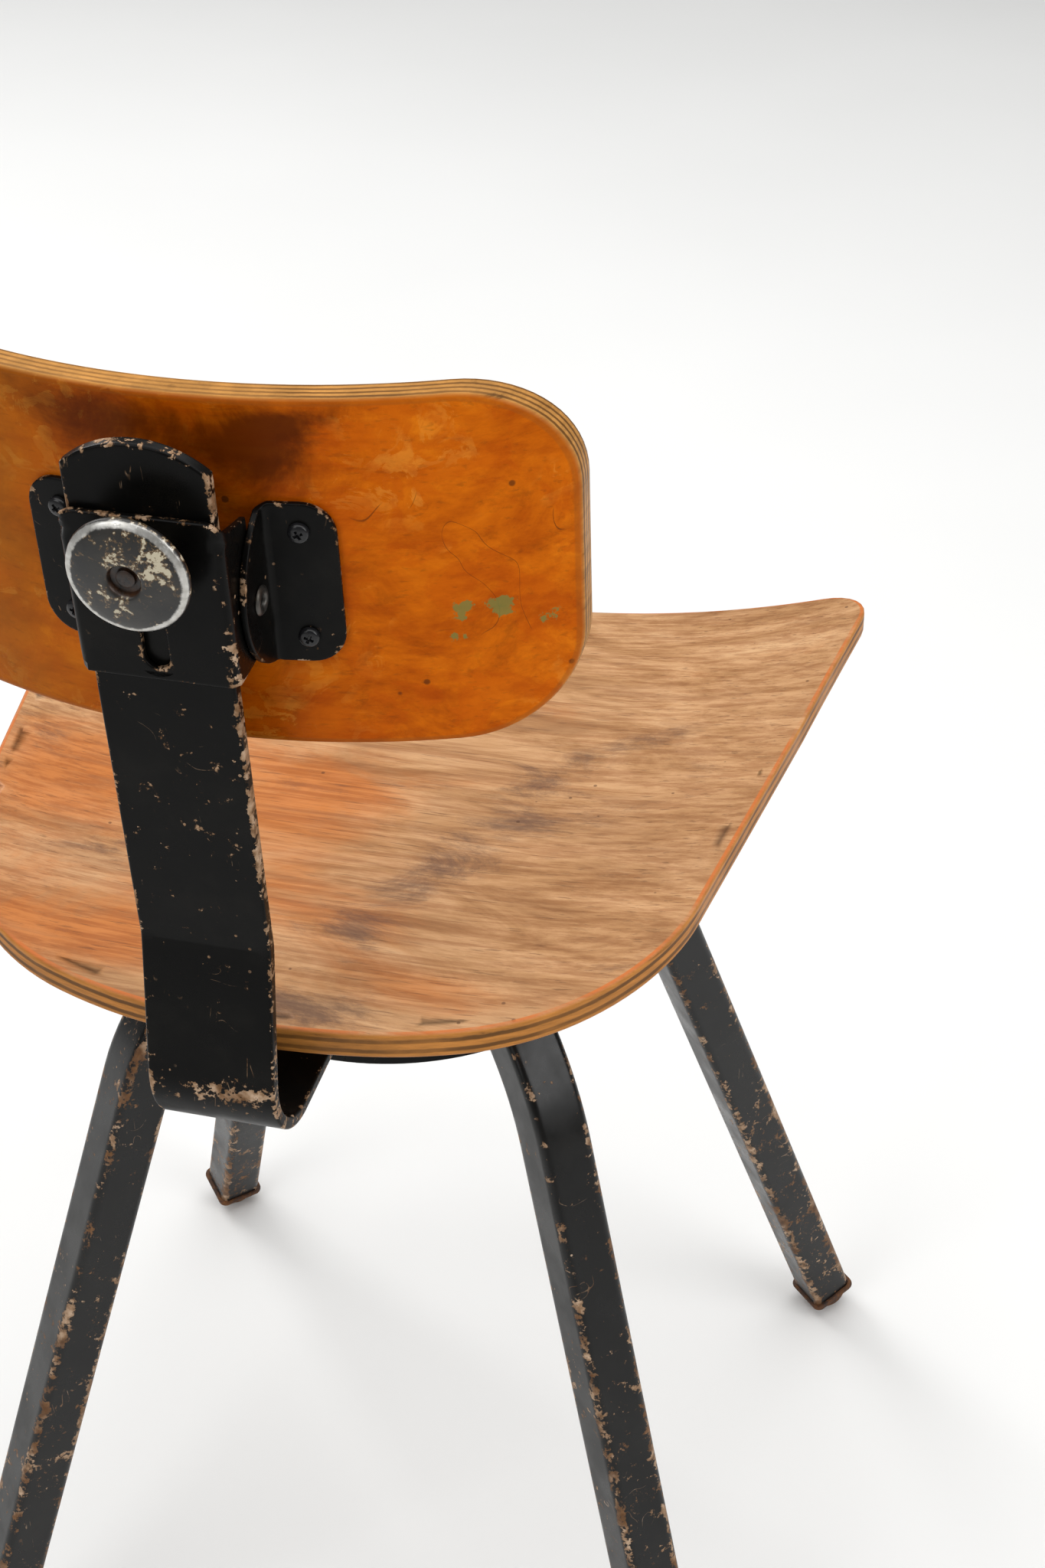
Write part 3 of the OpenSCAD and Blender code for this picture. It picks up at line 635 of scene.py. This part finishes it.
def rounded_box(width, height, corner, count, step):
    """Outline with round corners of count points, anticlockwise from the lower right one."""
    x, y = width / 2 - corner, height / 2 - corner
    points = []
    for turn, (across, up) in enumerate(((1, -1), (1, 1), (-1, 1), (-1, -1))):
        points += arc((across * x, up * y), corner, 90 * turn - 90, 90 * turn, count)
    return spaced(clean(points), step)


def blob(x, y, cx, cy, rx, ry, angle=0.0):
    """Soft spot, 1 in the middle, turned by angle."""
    dx, dy = x - cx, y - cy
    u = dx * cos(angle) + dy * sin(angle)
    v = -dx * sin(angle) + dy * cos(angle)
    return np.exp(-(u / rx) ** 2 - (v / ry) ** 2)


def spots(x, y, places):
    """Sum of soft spots, each given as its middle, two radii, turn and strength."""
    return sum(strength * blob(x, y, cx, cy, rx, ry, angle) for cx, cy, rx, ry, angle, strength in places)


# ---- Legs ----

def leg_section():
    """Rounded square with extra points beside the corners, and how near each is to a corner."""
    flat = LEG_W / 2 - LEG_CORNER
    points, near = [], []
    for q in range(4):
        for offset, value in ((-6, 0.0), (-3, 0.25), (-1.2, 0.6)):
            points.append((LEG_W / 2, flat + offset, q))
            near.append(value)
        for a in (0, 22.5, 45, 67.5, 90):
            points.append((flat + LEG_CORNER * cos(a), flat + LEG_CORNER * sin(a), q))
            near.append(1.0 if 10 < a < 80 else 0.85)
        for offset, value in ((-1.2, 0.6), (-3, 0.25), (-6, 0.0)):
            points.append((flat + offset, LEG_W / 2, q))
            near.append(value)
    points = [(x * cos(90 * q) - y * sin(90 * q), x * sin(90 * q) + y * cos(90 * q)) for x, y, q in points]
    return np.array(points), np.array(near)


def leg_path():
    """Centre line as (radius, height, heading from vertical towards the hub)."""
    bend_x = FOOT_R - BEND_Z * math.tan(math.radians(LEG_LEAN))
    centre_x = bend_x - BEND_R * cos(LEG_LEAN)
    centre_z = BEND_Z - BEND_R * sin(LEG_LEAN)
    stops = []
    length = BEND_Z / cos(LEG_LEAN) - FOOT_GAP
    for along in np.linspace(0, length, 22):
        up = FOOT_GAP + along
        stops.append((FOOT_R - up * sin(LEG_LEAN), up * cos(LEG_LEAN), LEG_LEAN))
    for a in np.linspace(LEG_LEAN, 90, 22)[1:]:
        stops.append((centre_x + BEND_R * cos(a), centre_z + BEND_R * sin(a), a))
    for x in (centre_x - 6, 18):
        stops.append((x, centre_z + BEND_R, 90))
    return stops


def leg_tube(azimuth):
    section, near = leg_section()
    stops = leg_path()
    n = len(section)
    points, edge, worn = [], [], []
    for radius, height, heading in stops:
        outward = np.array([cos(heading), 0, sin(heading)])
        sideways = np.array([0, 1, 0])
        ring = np.array([radius, 0, height]) + section[:, :1] * outward + section[:, 1:] * sideways
        points.append(ring)
        edge.append(near)
        low = np.clip((WEAR_TOP - height) / WEAR_TOP, 0, 1)
        worn.append(np.full(n, 0.03 + 0.24 * low ** 0.7))
    faces = bands(len(stops), n)
    faces += [tuple(range(n)), tuple(range((len(stops) - 1) * n, len(stops) * n))]
    points = turned(np.concatenate(points), azimuth)
    return points, faces, {"edge": np.concatenate(edge), "worn": np.concatenate(worn)}


def foot_frame(points, azimuth):
    """From the leg's own axis (Z up along the leg from the floor point) to the base frame."""
    p = np.asarray(points, float)
    lean = np.stack([FOOT_R + p[:, 0] * cos(LEG_LEAN) - p[:, 2] * sin(LEG_LEAN), p[:, 1],
                     p[:, 0] * sin(LEG_LEAN) + p[:, 2] * cos(LEG_LEAN)], 1)
    return turned(lean, azimuth)


def add_legs():
    for corner in CORNERS:
        azimuth = LEG_AZIMUTH[corner]
        points, faces, values = leg_tube(azimuth)
        add_piece(f"tube_{corner}", points, faces, "base", "black_paint", [f"leg_{corner}"], values,
                  "leg_paint")

        def shape(u, v, t):
            return foot_frame(np.stack([u, v, t + FOOT_GAP - PLATE_T / 2], 1), azimuth)
        grid = np.arange(-12, 13, 4.0)
        outline = rounded_box(PLATE_W, PLATE_W, PLATE_CORNER, 7, 2.0)
        points, faces, values, _ = plate([outline], PLATE_T, 1.0, grid, grid, shape, (0.8, 1.6, 2.4))
        add_piece(f"plate_{corner}", points, faces, "base", "rusty_steel", [f"foot_plate_{corner}"], values)
        add_piece(f"glide_dome_{corner}", *glide_dome(azimuth), "base", "rusty_steel", [f"glide_{corner}"])


def glide_dome(azimuth):
    """Round stud under the foot plate with a domed end, worn flat where it stands on the floor."""
    up = (GLIDE_BALL - GLIDE_FLAT - FOOT_DROP) / cos(LEG_LEAN)
    top = FOOT_GAP - PLATE_T
    widest = math.degrees(math.asin(GLIDE_R / GLIDE_BALL))
    profile = [(0, up - GLIDE_BALL)]
    profile += [(GLIDE_BALL * sin(a), up - GLIDE_BALL * cos(a)) for a in np.linspace(5, widest, 16)]
    profile += [(GLIDE_R, top - 1.5), (GLIDE_R - 0.3, top - 0.6), (GLIDE_R - 0.8, top), (0, top)]
    points, faces = lathe(profile, 40)
    points = foot_frame(points, azimuth)
    points[:, 2] = np.maximum(points[:, 2], -FOOT_DROP)
    return points, faces


# ---- Seat ----

def seat_outline():
    """Two leaning side lines, a broad rear arc and rounded corners, anticlockwise from the rear middle."""
    lean_in = np.array([-cos(SIDE_LEAN), -sin(SIDE_LEAN)])
    lean_up = np.array([-sin(SIDE_LEAN), cos(SIDE_LEAN)])
    rear_centre = np.array([0, SEAT_REAR - REAR_ARC])
    start = np.array([SIDE_X, SIDE_Y]) + REAR_CORNER * lean_in - rear_centre
    b = start @ lean_up
    run = -b + math.sqrt(b * b - start @ start + (REAR_ARC - REAR_CORNER) ** 2)
    corner = start + rear_centre + run * lean_up
    turn = math.degrees(math.atan2(corner[0] - rear_centre[0], corner[1] - rear_centre[1]))
    front_y = -SEAT_FRONT + FRONT_CORNER
    front_x = SIDE_X - (front_y - SIDE_Y) * math.tan(math.radians(SIDE_LEAN)) - FRONT_CORNER / cos(SIDE_LEAN)
    half = arc((front_x, front_y), FRONT_CORNER, -90, SIDE_LEAN, 9)
    half += arc(corner, REAR_CORNER, SIDE_LEAN, 90 - turn, 22)
    half += arc(rear_centre, REAR_ARC, 90 - turn, 90, 12)[1:]
    other = [(-x, y) for x, y in reversed(half)][1:]
    return spaced(clean(half + other), 6.0)


def seat_height(x, y):
    front = np.clip((DROP_FROM - y) / (SEAT_FRONT + DROP_FROM), 0, 1)
    rise = SEAT_DISH / (SIDE_X - FLAT_W - 20) ** 2 * (1 + 0.24 * front ** 2)
    return SEAT_H - SEAT_DROP * front ** 2 + rise * np.maximum(0, np.abs(x) - FLAT_W * (1 - 0.6 * front)) ** 2


# Soft spots on the seat: x, y, two radii, turn and strength
SEAT_STAINS = [(-24, 132, 15, 22, 20, 0.62), (-36, 104, 17, 22, 35, 0.60), (-55, 72, 20, 20, 30, 0.55),
               (-66, 38, 20, 22, 20, 0.45), (-76, 10, 26, 14, 10, 0.42), (-110, -25, 34, 9, 32, 0.60),
               (-84, 50, 22, 14, 0, 0.34), (-24, 184, 34, 9, 0, 0.62), (10, 178, 30, 8, 0, 0.38),
               (97, 103, 26, 12, 20, 0.50), (158, 45, 22, 14, 0, 0.42), (-130, 112, 34, 16, -40, 0.34),
               (-150, 70, 20, 20, 0, 0.20), (60, 130, 30, 12, 10, 0.32), (-5, 30, 40, 20, 0, 0.22),
               (30, -40, 60, 26, 0, 0.25), (-100, 84, 34, 14, 0, 0.26)]
SEAT_ORANGE = [(125, 62, 60, 46, 0, 0.75), (24, 52, 46, 40, 0, 0.65), (96, 160, 60, 30, 20, 0.80),
               (0, 120, 60, 40, 0, 0.40), (-60, 165, 60, 16, 0, 0.45), (60, -20, 80, 60, 0, 0.40)]
SEAT_SPOTS = [(-101, 22, 4.5, 2.2, 10, 0.95), (-77, 121, 1.8, 1.8, 0, 1.0), (-64, -96, 3, 2, 0, 0.8)]


def add_seat():
    def shape(u, v, t):
        return np.stack([u, v, seat_height(u, v) - SEAT_T / 2 + t], 1)
    grid = np.arange(-200, 205, 5.0)
    points, faces, values, flat = plate([seat_outline()], SEAT_T, 1.6, grid, grid, shape, (1.0, 2.5, 5.0))
    x, y = flat[:, 0], flat[:, 1]
    values["worn"] = spots(x, y, SEAT_STAINS) - 0.04
    values["mark"] = spots(x, y, SEAT_ORANGE)
    values["spot"] = spots(x, y, SEAT_SPOTS)
    add_piece("seat_shell", points, faces, "seat", "seat_ply", ["seat_panel"], values)


# ---- Back bar ----

class Path:
    """A line in a plane made of straight runs and arcs, read by its length."""

    def __init__(self, start, heading):
        self.runs, self.length = [], 0.0
        self.at, self.heading = np.array(start, float), heading

    def line(self, length):
        self.runs.append(("line", self.length, self.at.copy(), self.heading, length, 0.0))
        self.at = self.at + length * np.array([cos(self.heading), sin(self.heading)])
        self.length += length

    def turn(self, radius, angle):
        """Turns left by angle, or right where it is negative."""
        length = math.radians(abs(angle)) * radius
        self.runs.append(("turn", self.length, self.at.copy(), self.heading, length,
                          math.copysign(radius, angle)))
        side = math.copysign(1, angle)
        centre = self.at + side * radius * np.array([-sin(self.heading), cos(self.heading)])
        self.heading += angle
        self.at = centre - side * radius * np.array([-sin(self.heading), cos(self.heading)])
        self.length += length

    def read(self, s):
        """Points and headings at lengths s; the ends run on straight."""
        s = np.asarray(s, float)
        x, y, heading = np.zeros_like(s), np.zeros_like(s), np.zeros_like(s)
        for number, (kind, begin, at, start, _, radius) in enumerate(self.runs):
            here = (s >= begin) if number else np.ones(len(s), bool)
            d = s[here] - begin
            if kind == "line":
                x[here], y[here] = at[0] + d * cos(start), at[1] + d * sin(start)
                heading[here] = start
            else:
                h = start + np.degrees(d / radius)
                r = np.radians(h)
                x[here] = at[0] + radius * (np.sin(r) - sin(start))
                y[here] = at[1] - radius * (np.cos(r) - cos(start))
                heading[here] = h
        return x, y, heading


def bar_path():
    """Middle of the bar's thickness, from its front end under the seat to its top."""
    crease_turn = 90 - BAR_LEAN - (90 + LOW_LEAN)
    crease_r = 7.0
    tangent = crease_r * math.tan(math.radians(abs(crease_turn) / 2))
    middle = BAR_T / 2 * math.tan(math.radians(abs(crease_turn) / 2))
    centre_z = BAR_LOW_Z + BAR_BEND
    low_length = (CREASE_Z - centre_z - BAR_BEND * sin(LOW_LEAN)) / cos(LOW_LEAN)
    centre_y = CREASE_Y + low_length * sin(LOW_LEAN) - BAR_BEND * cos(LOW_LEAN)
    path = Path((-BAR_FRONT, BAR_LOW_Z + BAR_T / 2), 0)
    path.line(centre_y + BAR_FRONT)
    path.turn(BAR_BEND - BAR_T / 2, 90 + LOW_LEAN)
    path.line(low_length + middle - tangent)
    path.turn(crease_r, crease_turn)
    path.line(BAR_UP + middle - tangent)
    return path


def add_bar():
    path = bar_path()
    top = path.length
    arch_low = top - ARCH_R + math.sqrt(ARCH_R ** 2 - (BAR_W / 2) ** 2)
    arch_side = math.degrees(math.asin((arch_low - top + ARCH_R) / ARCH_R))
    corner_x = BAR_W / 2 - BAR_CORNER
    outline = arc((corner_x, BAR_CORNER), BAR_CORNER, -90, 0, 5)
    outline += arc((0, top - ARCH_R), ARCH_R, arch_side, 180 - arch_side, 25)
    outline += arc((-corner_x, BAR_CORNER), BAR_CORNER, 180, 270, 5)
    holes = [arc((x, BAR_FRONT + y), BAR_HOLE_R, 360, 15, 24)
             for x in (-BAR_HOLE_X, BAR_HOLE_X) for y in (-BAR_HOLE_Y, BAR_HOLE_Y)]
    holes.append(arc((0, BAR_FRONT), BAR_BORE_R, 360, 12, 30))

    def shape(u, v, t):
        y, z, heading = path.read(v)
        r = np.radians(heading)
        # t > 0 is the face that turns rearward above the bend
        return np.stack([u, y + t * np.sin(r), z - t * np.cos(r)], 1)
    bend, after, crease, crease_end = (run[1] for run in path.runs[1:])
    grid_v = np.concatenate([np.arange(6, bend - 3, 10.0), np.linspace(bend, after, 30),
                             np.arange(after + 5, crease - 2, 6.0), np.linspace(crease, crease_end, 5),
                             np.arange(crease_end + 5, top - 4, 6.0)])
    grid_u = np.arange(-20, 21, 4.0)
    points, faces, values, flat = plate([spaced(clean(outline), 3.0), *holes], BAR_T, 0.9, grid_u, grid_v,
                                        shape, (0.8, 2.0, 3.5))
    x, s = flat[:, 0], flat[:, 1]
    band = after - 4
    crossing = 0.55 * np.exp(-((s - band) / 6.0) ** 2) * (0.72 + 0.28 * np.cos(x / 6.0 + 0.6))
    tip = 0.12 * np.exp(-((top - s) / 2.5) ** 2)
    values["worn"] = crossing + tip - 0.03 + spots(x, s, [
        (9, top - 26, 1.8, 14, -5, 0.40), (-5, top - 34, 2.2, 9, 0, 0.34), (-25, top - 18, 1.3, 24, 0, 0.30),
        (-25, after + 95, 1.4, 90, 0, 0.22), (-4, after + 36, 2.5, 3.5, 0, 0.40),
        (-10, after + 22, 1.6, 4, 0, 0.36), (-9, after + 103, 2.6, 1.8, 25, 0.34)])
    add_piece("bar_strip", points, faces, "seat", "black_paint", ["back_bar"], values)


# ---- Slide bracket and rivets ----

def add_bracket():
    sheet, outer = 2.5, 3.0
    half = 27.9
    face = 0.6 + sheet
    middle = outer - sheet / 2
    flat = half - outer
    bend = middle * math.radians(90)
    path = Path((0, face - sheet / 2), 0)
    path.line(flat)
    path.turn(middle, -90)
    path.line(30)

    def u_at(y):
        """Developed length where the flange is at this y."""
        return flat + bend + (face - outer - y)

    right = [(u_at(-15), BRACKET_LOW), (u_at(-20), BRACKET_LOW + 4), (u_at(-20.2), 136.5)]
    right += [(u_at(PIVOT_Y - 6.5 * cos(a)), PIVOT_Z + 6.5 * sin(a)) for a in np.linspace(-52, 52, 9)]
    right += [(u_at(-19.4), 160), (u_at(-19), BRACKET_HIGH - 10), (u_at(-11), BRACKET_HIGH - 8),
              (u_at(-2), BRACKET_HIGH - 5.5), (flat + 1, BRACKET_HIGH - 1.2), (flat - 2, BRACKET_HIGH)]
    outline = right + [(-u, v) for u, v in reversed(right)]
    slot = [(SLOT_W / 2 * cos(a), SLOT_HIGH + SLOT_W / 2 * sin(a)) for a in np.linspace(180, 0, 13)]
    slot += [(SLOT_W / 2 * cos(a), SLOT_LOW + SLOT_W / 2 * sin(a)) for a in np.linspace(0, -180, 13)]

    def shape(u, v, t):
        x, y, heading = path.read(np.abs(u))
        r = np.radians(heading)
        x = np.sign(u) * (x - t * np.sin(r))
        return on_bar(np.stack([x, y + t * np.cos(r), v], 1))
    folds = np.linspace(flat, flat + bend, 7)
    ears = np.arange(31, 46, 4.0)
    grid_u = np.sort(np.concatenate([-folds, folds, np.arange(-22, 23, 4.0), -ears, ears]))
    points, faces, values, at = plate([spaced(clean(outline), 2.2), spaced(clean(slot), 2.5)], sheet, 0.7,
                                      grid_u, np.arange(124, 182, 4.0), shape, (0.7, 1.5, 2.6))
    u, v = at[:, 0], at[:, 1]
    fold = np.exp(-((np.abs(u) - flat - bend / 2) / 2.4) ** 2)
    right_fold = fold * (u < 0)
    ring = np.hypot(u, np.maximum(SLOT_LOW - v, 0)) - SLOT_W / 2
    rubbed = 0.36 * np.exp(-((ring - 1.6) / 1.6) ** 2) * (v < 136)
    values["worn"] = (0.34 * right_fold * (0.8 + 0.5 * np.exp(-((v - 126) / 10) ** 2)) + 0.10 * fold
                      + 0.26 * blob(u, v, -26, 123, 2.5, 9) + rubbed - 0.02)
    add_piece("bracket_sheet", points, faces, "slide", "black_paint", ["slide_bracket"], values)


def add_rivet(side):
    """Tubular rivet: inner flat head, shank, and an outer rolled head with a hollow middle."""
    name = "left" if side > 0 else "right"
    inner, outer = 25.4, 30.45
    profile = [(0, inner - 1.8), (4.4, inner - 1.8), (5, inner - 1.3), (5, inner - 0.02), (3, inner),
               (3, outer + 0.1), (4.9, outer + 0.12), (5.2, outer + 0.5), (5.0, outer + 1.0),
               (4.3, outer + 1.5), (3.5, outer + 1.62), (2.7, outer + 1.4), (2.3, outer + 0.9),
               (2.2, outer - 0.2), (0, outer - 0.3)]
    p, faces = lathe(profile, 36)
    local = np.stack([side * p[:, 2], PIVOT_Y + p[:, 0], PIVOT_Z + p[:, 1]], 1)
    add_piece(f"rivet_{name}", on_bar(local), faces, "slide", "bare_steel", [f"pivot_rivet_{name}"], None,
              "dark_steel")


# ---- Knob and washer ----

def add_knob():
    """Domed disc: local Z runs rearward from the bar's rear face."""
    back, face, lift = 4.4, 19.0, 12.0
    profile = [(0, back), (8.0, back), (8.5, back + 0.5), (8.5, lift - 1.2), (9.6, lift - 0.2), (17.5, lift)]
    profile += [(KNOB_R - 2 + 2 * cos(a), lift + 2 + 2 * sin(a)) for a in np.linspace(-90, 60, 11)]
    dome = 72.0
    crown = face - dome
    for r in np.linspace(17.6, 7.2, 9):
        profile.append((r, crown + math.sqrt(dome ** 2 - r ** 2) - 0.15))
    profile += [(6.2, face - 0.7), (5.6, face - 1.3), (5.3, face - 3.2), (3.4, face - 3.5), (3.2, face - 2.4),
                (2.6, face - 2.1), (0, face - 2.1)]
    p, faces = lathe(profile, 96)
    r = np.hypot(p[:, 0], p[:, 1])
    rim = np.exp(-((r - 19.4) / 1.5) ** 2) * (p[:, 2] > lift + 1)
    shine = blob(p[:, 0], p[:, 1], -9, 8, 13, 12) + 0.4 * blob(p[:, 0], p[:, 1], 10, -8, 9, 6)
    hollow = (r < 5.9).astype(float) * (p[:, 2] > back + 1)
    local = np.stack([p[:, 0], p[:, 2], KNOB_UP + p[:, 1]], 1)
    values = {"edge": rim, "side": hollow, "worn": shine}
    add_piece("knob_disc", on_bar(local), faces, "knob", "worn_knob", ["clamp_knob"], values)


# ---- Hinge plates, backrest and screws ----

def add_hinge(side):
    """Sheet bent from the ear beside the bracket into a plate that follows the backrest."""
    name = "left" if side > 0 else "right"
    fold, ear_mid = 4.0, 29.4
    mid_r = BACK_R + HINGE_T / 2 + 0.05
    centre_x = ear_mid + fold
    centre_y = BACK_CY + math.sqrt((mid_r + fold) ** 2 - centre_x ** 2)
    start_angle = math.degrees(math.asin(centre_x / (mid_r + fold)))
    bend = fold * math.radians(90 - start_angle)
    path = Path((ear_mid, centre_y), -90)
    path.turn(fold, 90 - start_angle)
    path.turn(mid_r, -20)
    width = bend + math.radians(math.degrees(math.asin(54 / mid_r)) - start_angle) * mid_r
    half, corner = 31, 12
    reach = centre_y - EAR_Y
    top = math.sqrt(EAR_R ** 2 - reach ** 2)
    ear = [(reach - math.sqrt(EAR_R ** 2 - z * z), z) for z in np.linspace(top, -top, 23)]
    outline = ear + [(2.5, -half + 0.8), (5, -half)]
    outline += arc((width - corner, -half + corner), corner, -90, 0, 10)
    outline += arc((width - corner, half - corner), corner, 0, 90, 10)
    outline += [(5, half), (2.5, half - 0.8)]

    def shape(u, v, t):
        ahead = np.maximum(u, 0)
        x, y, heading = path.read(ahead)
        y = y + np.maximum(-u, 0)
        r = np.radians(heading)
        local = np.stack([side * (x - t * np.sin(r)), y + t * np.cos(r), PIVOT_Z + v], 1)
        return on_bar(local)
    grid_u = np.concatenate([np.arange(-18, -1, 3.0), np.linspace(0, bend, 8),
                             np.arange(bend + 2.5, width - 2, 3.0)])
    points, faces, values, at = plate([spaced(clean(outline), 2.2)], HINGE_T, 0.6, grid_u,
                                      np.arange(-28, 29, 4.0), shape, (0.7, 1.5, 2.6))
    u, v = at[:, 0], at[:, 1]
    values["worn"] = spots(u, v, [(width - 2, 24, 3, 6, 0, 0.26), (bend + 12, -16, 0.8, 9, 30, 0.30),
                                  (-1, 8, 1.2, 14, 0, 0.28)]) - 0.02
    add_piece(f"hinge_sheet_{name}", points, faces, "backrest", "black_paint", [f"hinge_plate_{name}"],
              values)


# Soft spots on the backrest, in the same form as the seat's
BACK_GRIME = [(-6, 52, 46, 17, 0, 0.60), (34, 56, 44, 14, 0, 0.34), (-38, 38, 30, 20, 0, 0.34),
              (-44, 60, 18, 5, -16, 0.50), (10, 10, 44, 34, 0, 0.45), (-35, -40, 40, 12, 0, 0.20)]
BACK_GREEN = [(-104, -14, 6, 5, 0, 1.0), (-90, -13, 5, 4, 0, 0.85), (-118, -20, 4, 5, 0, 0.85),
              (-88, -24, 5, 3, 0, 0.75)]


def add_backrest():
    outline = rounded_box(BACK_W, BACK_H, BACK_CORNER, 18, 5.0)
    mid_r = BACK_R - BACK_T / 2

    def shape(u, v, t):
        return on_bar(np.stack([u, BACK_CY + np.sqrt((mid_r + t) ** 2 - u ** 2), PIVOT_Z + v], 1))
    points, faces, values, at = plate([outline], BACK_T, 2.0, np.arange(-128, 129, 4.0),
                                      np.arange(-64, 65, 4.0), shape, (1.0, 2.5, 5.0))
    x, z = at[:, 0], at[:, 1]
    values["worn"] = spots(x, z, BACK_GRIME) - 0.12
    values["dull"] = 0.75 * np.clip((x - 5) / 60, 0, 1) + 0.35 * blob(x, z, -30, -60, 60, 10)
    values["mark"] = spots(x, z, BACK_GREEN)
    add_piece("backrest_shell", points, faces, "backrest", "back_ply", ["backrest_panel"], values)


def screw_head():
    """Pan head with a cross recess, local Z outward, its underside at 0."""
    tall, crown, slot_half, slot_reach, slot_deep, segments = 2.4, 0.30, 0.42, 1.75, 1.15, 48
    radii = [0.12, 0.3, 0.5, 0.75, 1.0, 1.25, 1.5, 1.75, 2.0, 2.3, 2.7, 3.1, 3.4, 3.6, SCREW_R]
    angle = np.arange(segments) * math.tau / segments
    r, a = np.meshgrid(radii, angle, indexing="ij")
    x, y = r * np.cos(a), r * np.sin(a)

    def bar_cut(p, q):
        return (np.clip((slot_half - np.abs(p)) / 0.12 + 0.5, 0, 1)
                * np.clip((slot_reach - np.abs(q)) / 0.35, 0, 1))
    dome = tall * (1 - crown * (r / SCREW_R) ** 2) - 0.9 * np.clip((r - 3.1) / 0.6, 0, 1) ** 2
    z = dome - slot_deep * np.maximum(bar_cut(x, y), bar_cut(y, x))
    rows = len(radii)
    foot = np.stack([SCREW_R * np.cos(angle), SCREW_R * np.sin(angle), np.zeros(segments)], 1)
    points = np.concatenate([np.stack([x, y, z], 2).reshape(-1, 3), foot, [[0, 0, z[0, 0]], [0, 0, 0]]])
    centre = (rows + 1) * segments
    faces = bands(rows + 1, segments)
    for i in range(segments):
        j = (i + 1) % segments
        faces += [(centre, j, i), (centre + 1, rows * segments + i, rows * segments + j)]
    return points, faces, {"edge": np.clip(np.hypot(points[:, 0], points[:, 1]) / SCREW_R, 0, 1) ** 3}


def add_back_screws():
    head, faces, values = screw_head()
    points = []
    for number, (side, level) in enumerate(itertools.product((-1, 1), repeat=2)):
        spun = turned(head, 25 + 40 * number)
        out = np.stack([spun[:, 0], BACK_R + SCREW_LIFT + spun[:, 2], spun[:, 1]], 1)
        local = turned(out, -side * SCREW_TURN) + [0, BACK_CY, PIVOT_Z + level * SCREW_LEVEL]
        points.append(on_bar(local))
    faces = [[i + k * len(head) for i in face] for k in range(4) for face in faces]
    add_piece("screw_heads", np.concatenate(points), faces, "backrest", "black_screw", ["backrest_screws"],
              {"edge": np.tile(values["edge"], 4)})


# ---- Spindle ----

def add_spindle():
    """Screw with two rounded starts, a 12 mm lead and plain ends."""
    segments, lead, starts, depth = 48, 12.0, 2, 1.1
    angle = np.arange(segments) / segments
    heights = np.arange(SPINDLE_LOW, SPINDLE_HIGH + 0.01, 0.75)
    z, a = np.meshgrid(heights, angle, indexing="ij")
    phase = (z / lead - a) * starts % 1.0
    thread = np.clip(1.6 - np.abs(phase - 0.5) * 4.6, 0, 1)
    plain = np.clip((z - (SPINDLE_HIGH - 12)) / 2, 0, 1) + np.clip((SPINDLE_LOW + 9 - z) / 2, 0, 1)
    r = SPINDLE_R - depth * (1 - np.maximum(thread, np.clip(plain, 0, 1)))
    x, y = r * np.cos(a * math.tau), r * np.sin(a * math.tau)
    rows = len(heights)
    points = np.stack([x, y, z], 2).reshape(-1, 3)
    faces = bands(rows, segments)
    faces += [tuple(range(segments)), tuple(range((rows - 1) * segments, rows * segments))]
    add_piece("spindle_screw", points, faces, "screw", "bare_steel", ["spindle"])


# ---- Everything together ----

def dress_cad_nodes():
    """CAD nodes that keep their own shape get their slot's finish."""
    for part in frame["record"]["subparts"]:
        shown = frame["nodes"][part["node"]]
        for slot in shown.material_slots:
            slot.material = MATERIALS[part["material_slot"]]


bpy.context.scene.view_settings.view_transform = "Standard"
add_camera()
add_world()
add_floor()
add_area_light("top", (0.1, -0.4, 3.3), (0, -0.2, 0.3), (4.4, 4.4), 126)
add_area_light("key", (1.6, 2.9, 2.5), (0, 0, 0.5), (2.2, 2.2), 42)
add_area_light("window", (2.6, -1.9, 2.3), (0, 0, 0.3), (1.5, 1.5), 42)
add_area_light("fill", (-2.6, 0.8, 2.0), (0, 0, 0.4), (1.8, 2.0), 38)
dress_cad_nodes()
add_legs()
add_seat()
add_bar()
add_bracket()
add_knob()
for hand in (-1, 1):
    add_rivet(hand)
    add_hinge(hand)
add_backrest()
add_back_screws()
add_spindle()
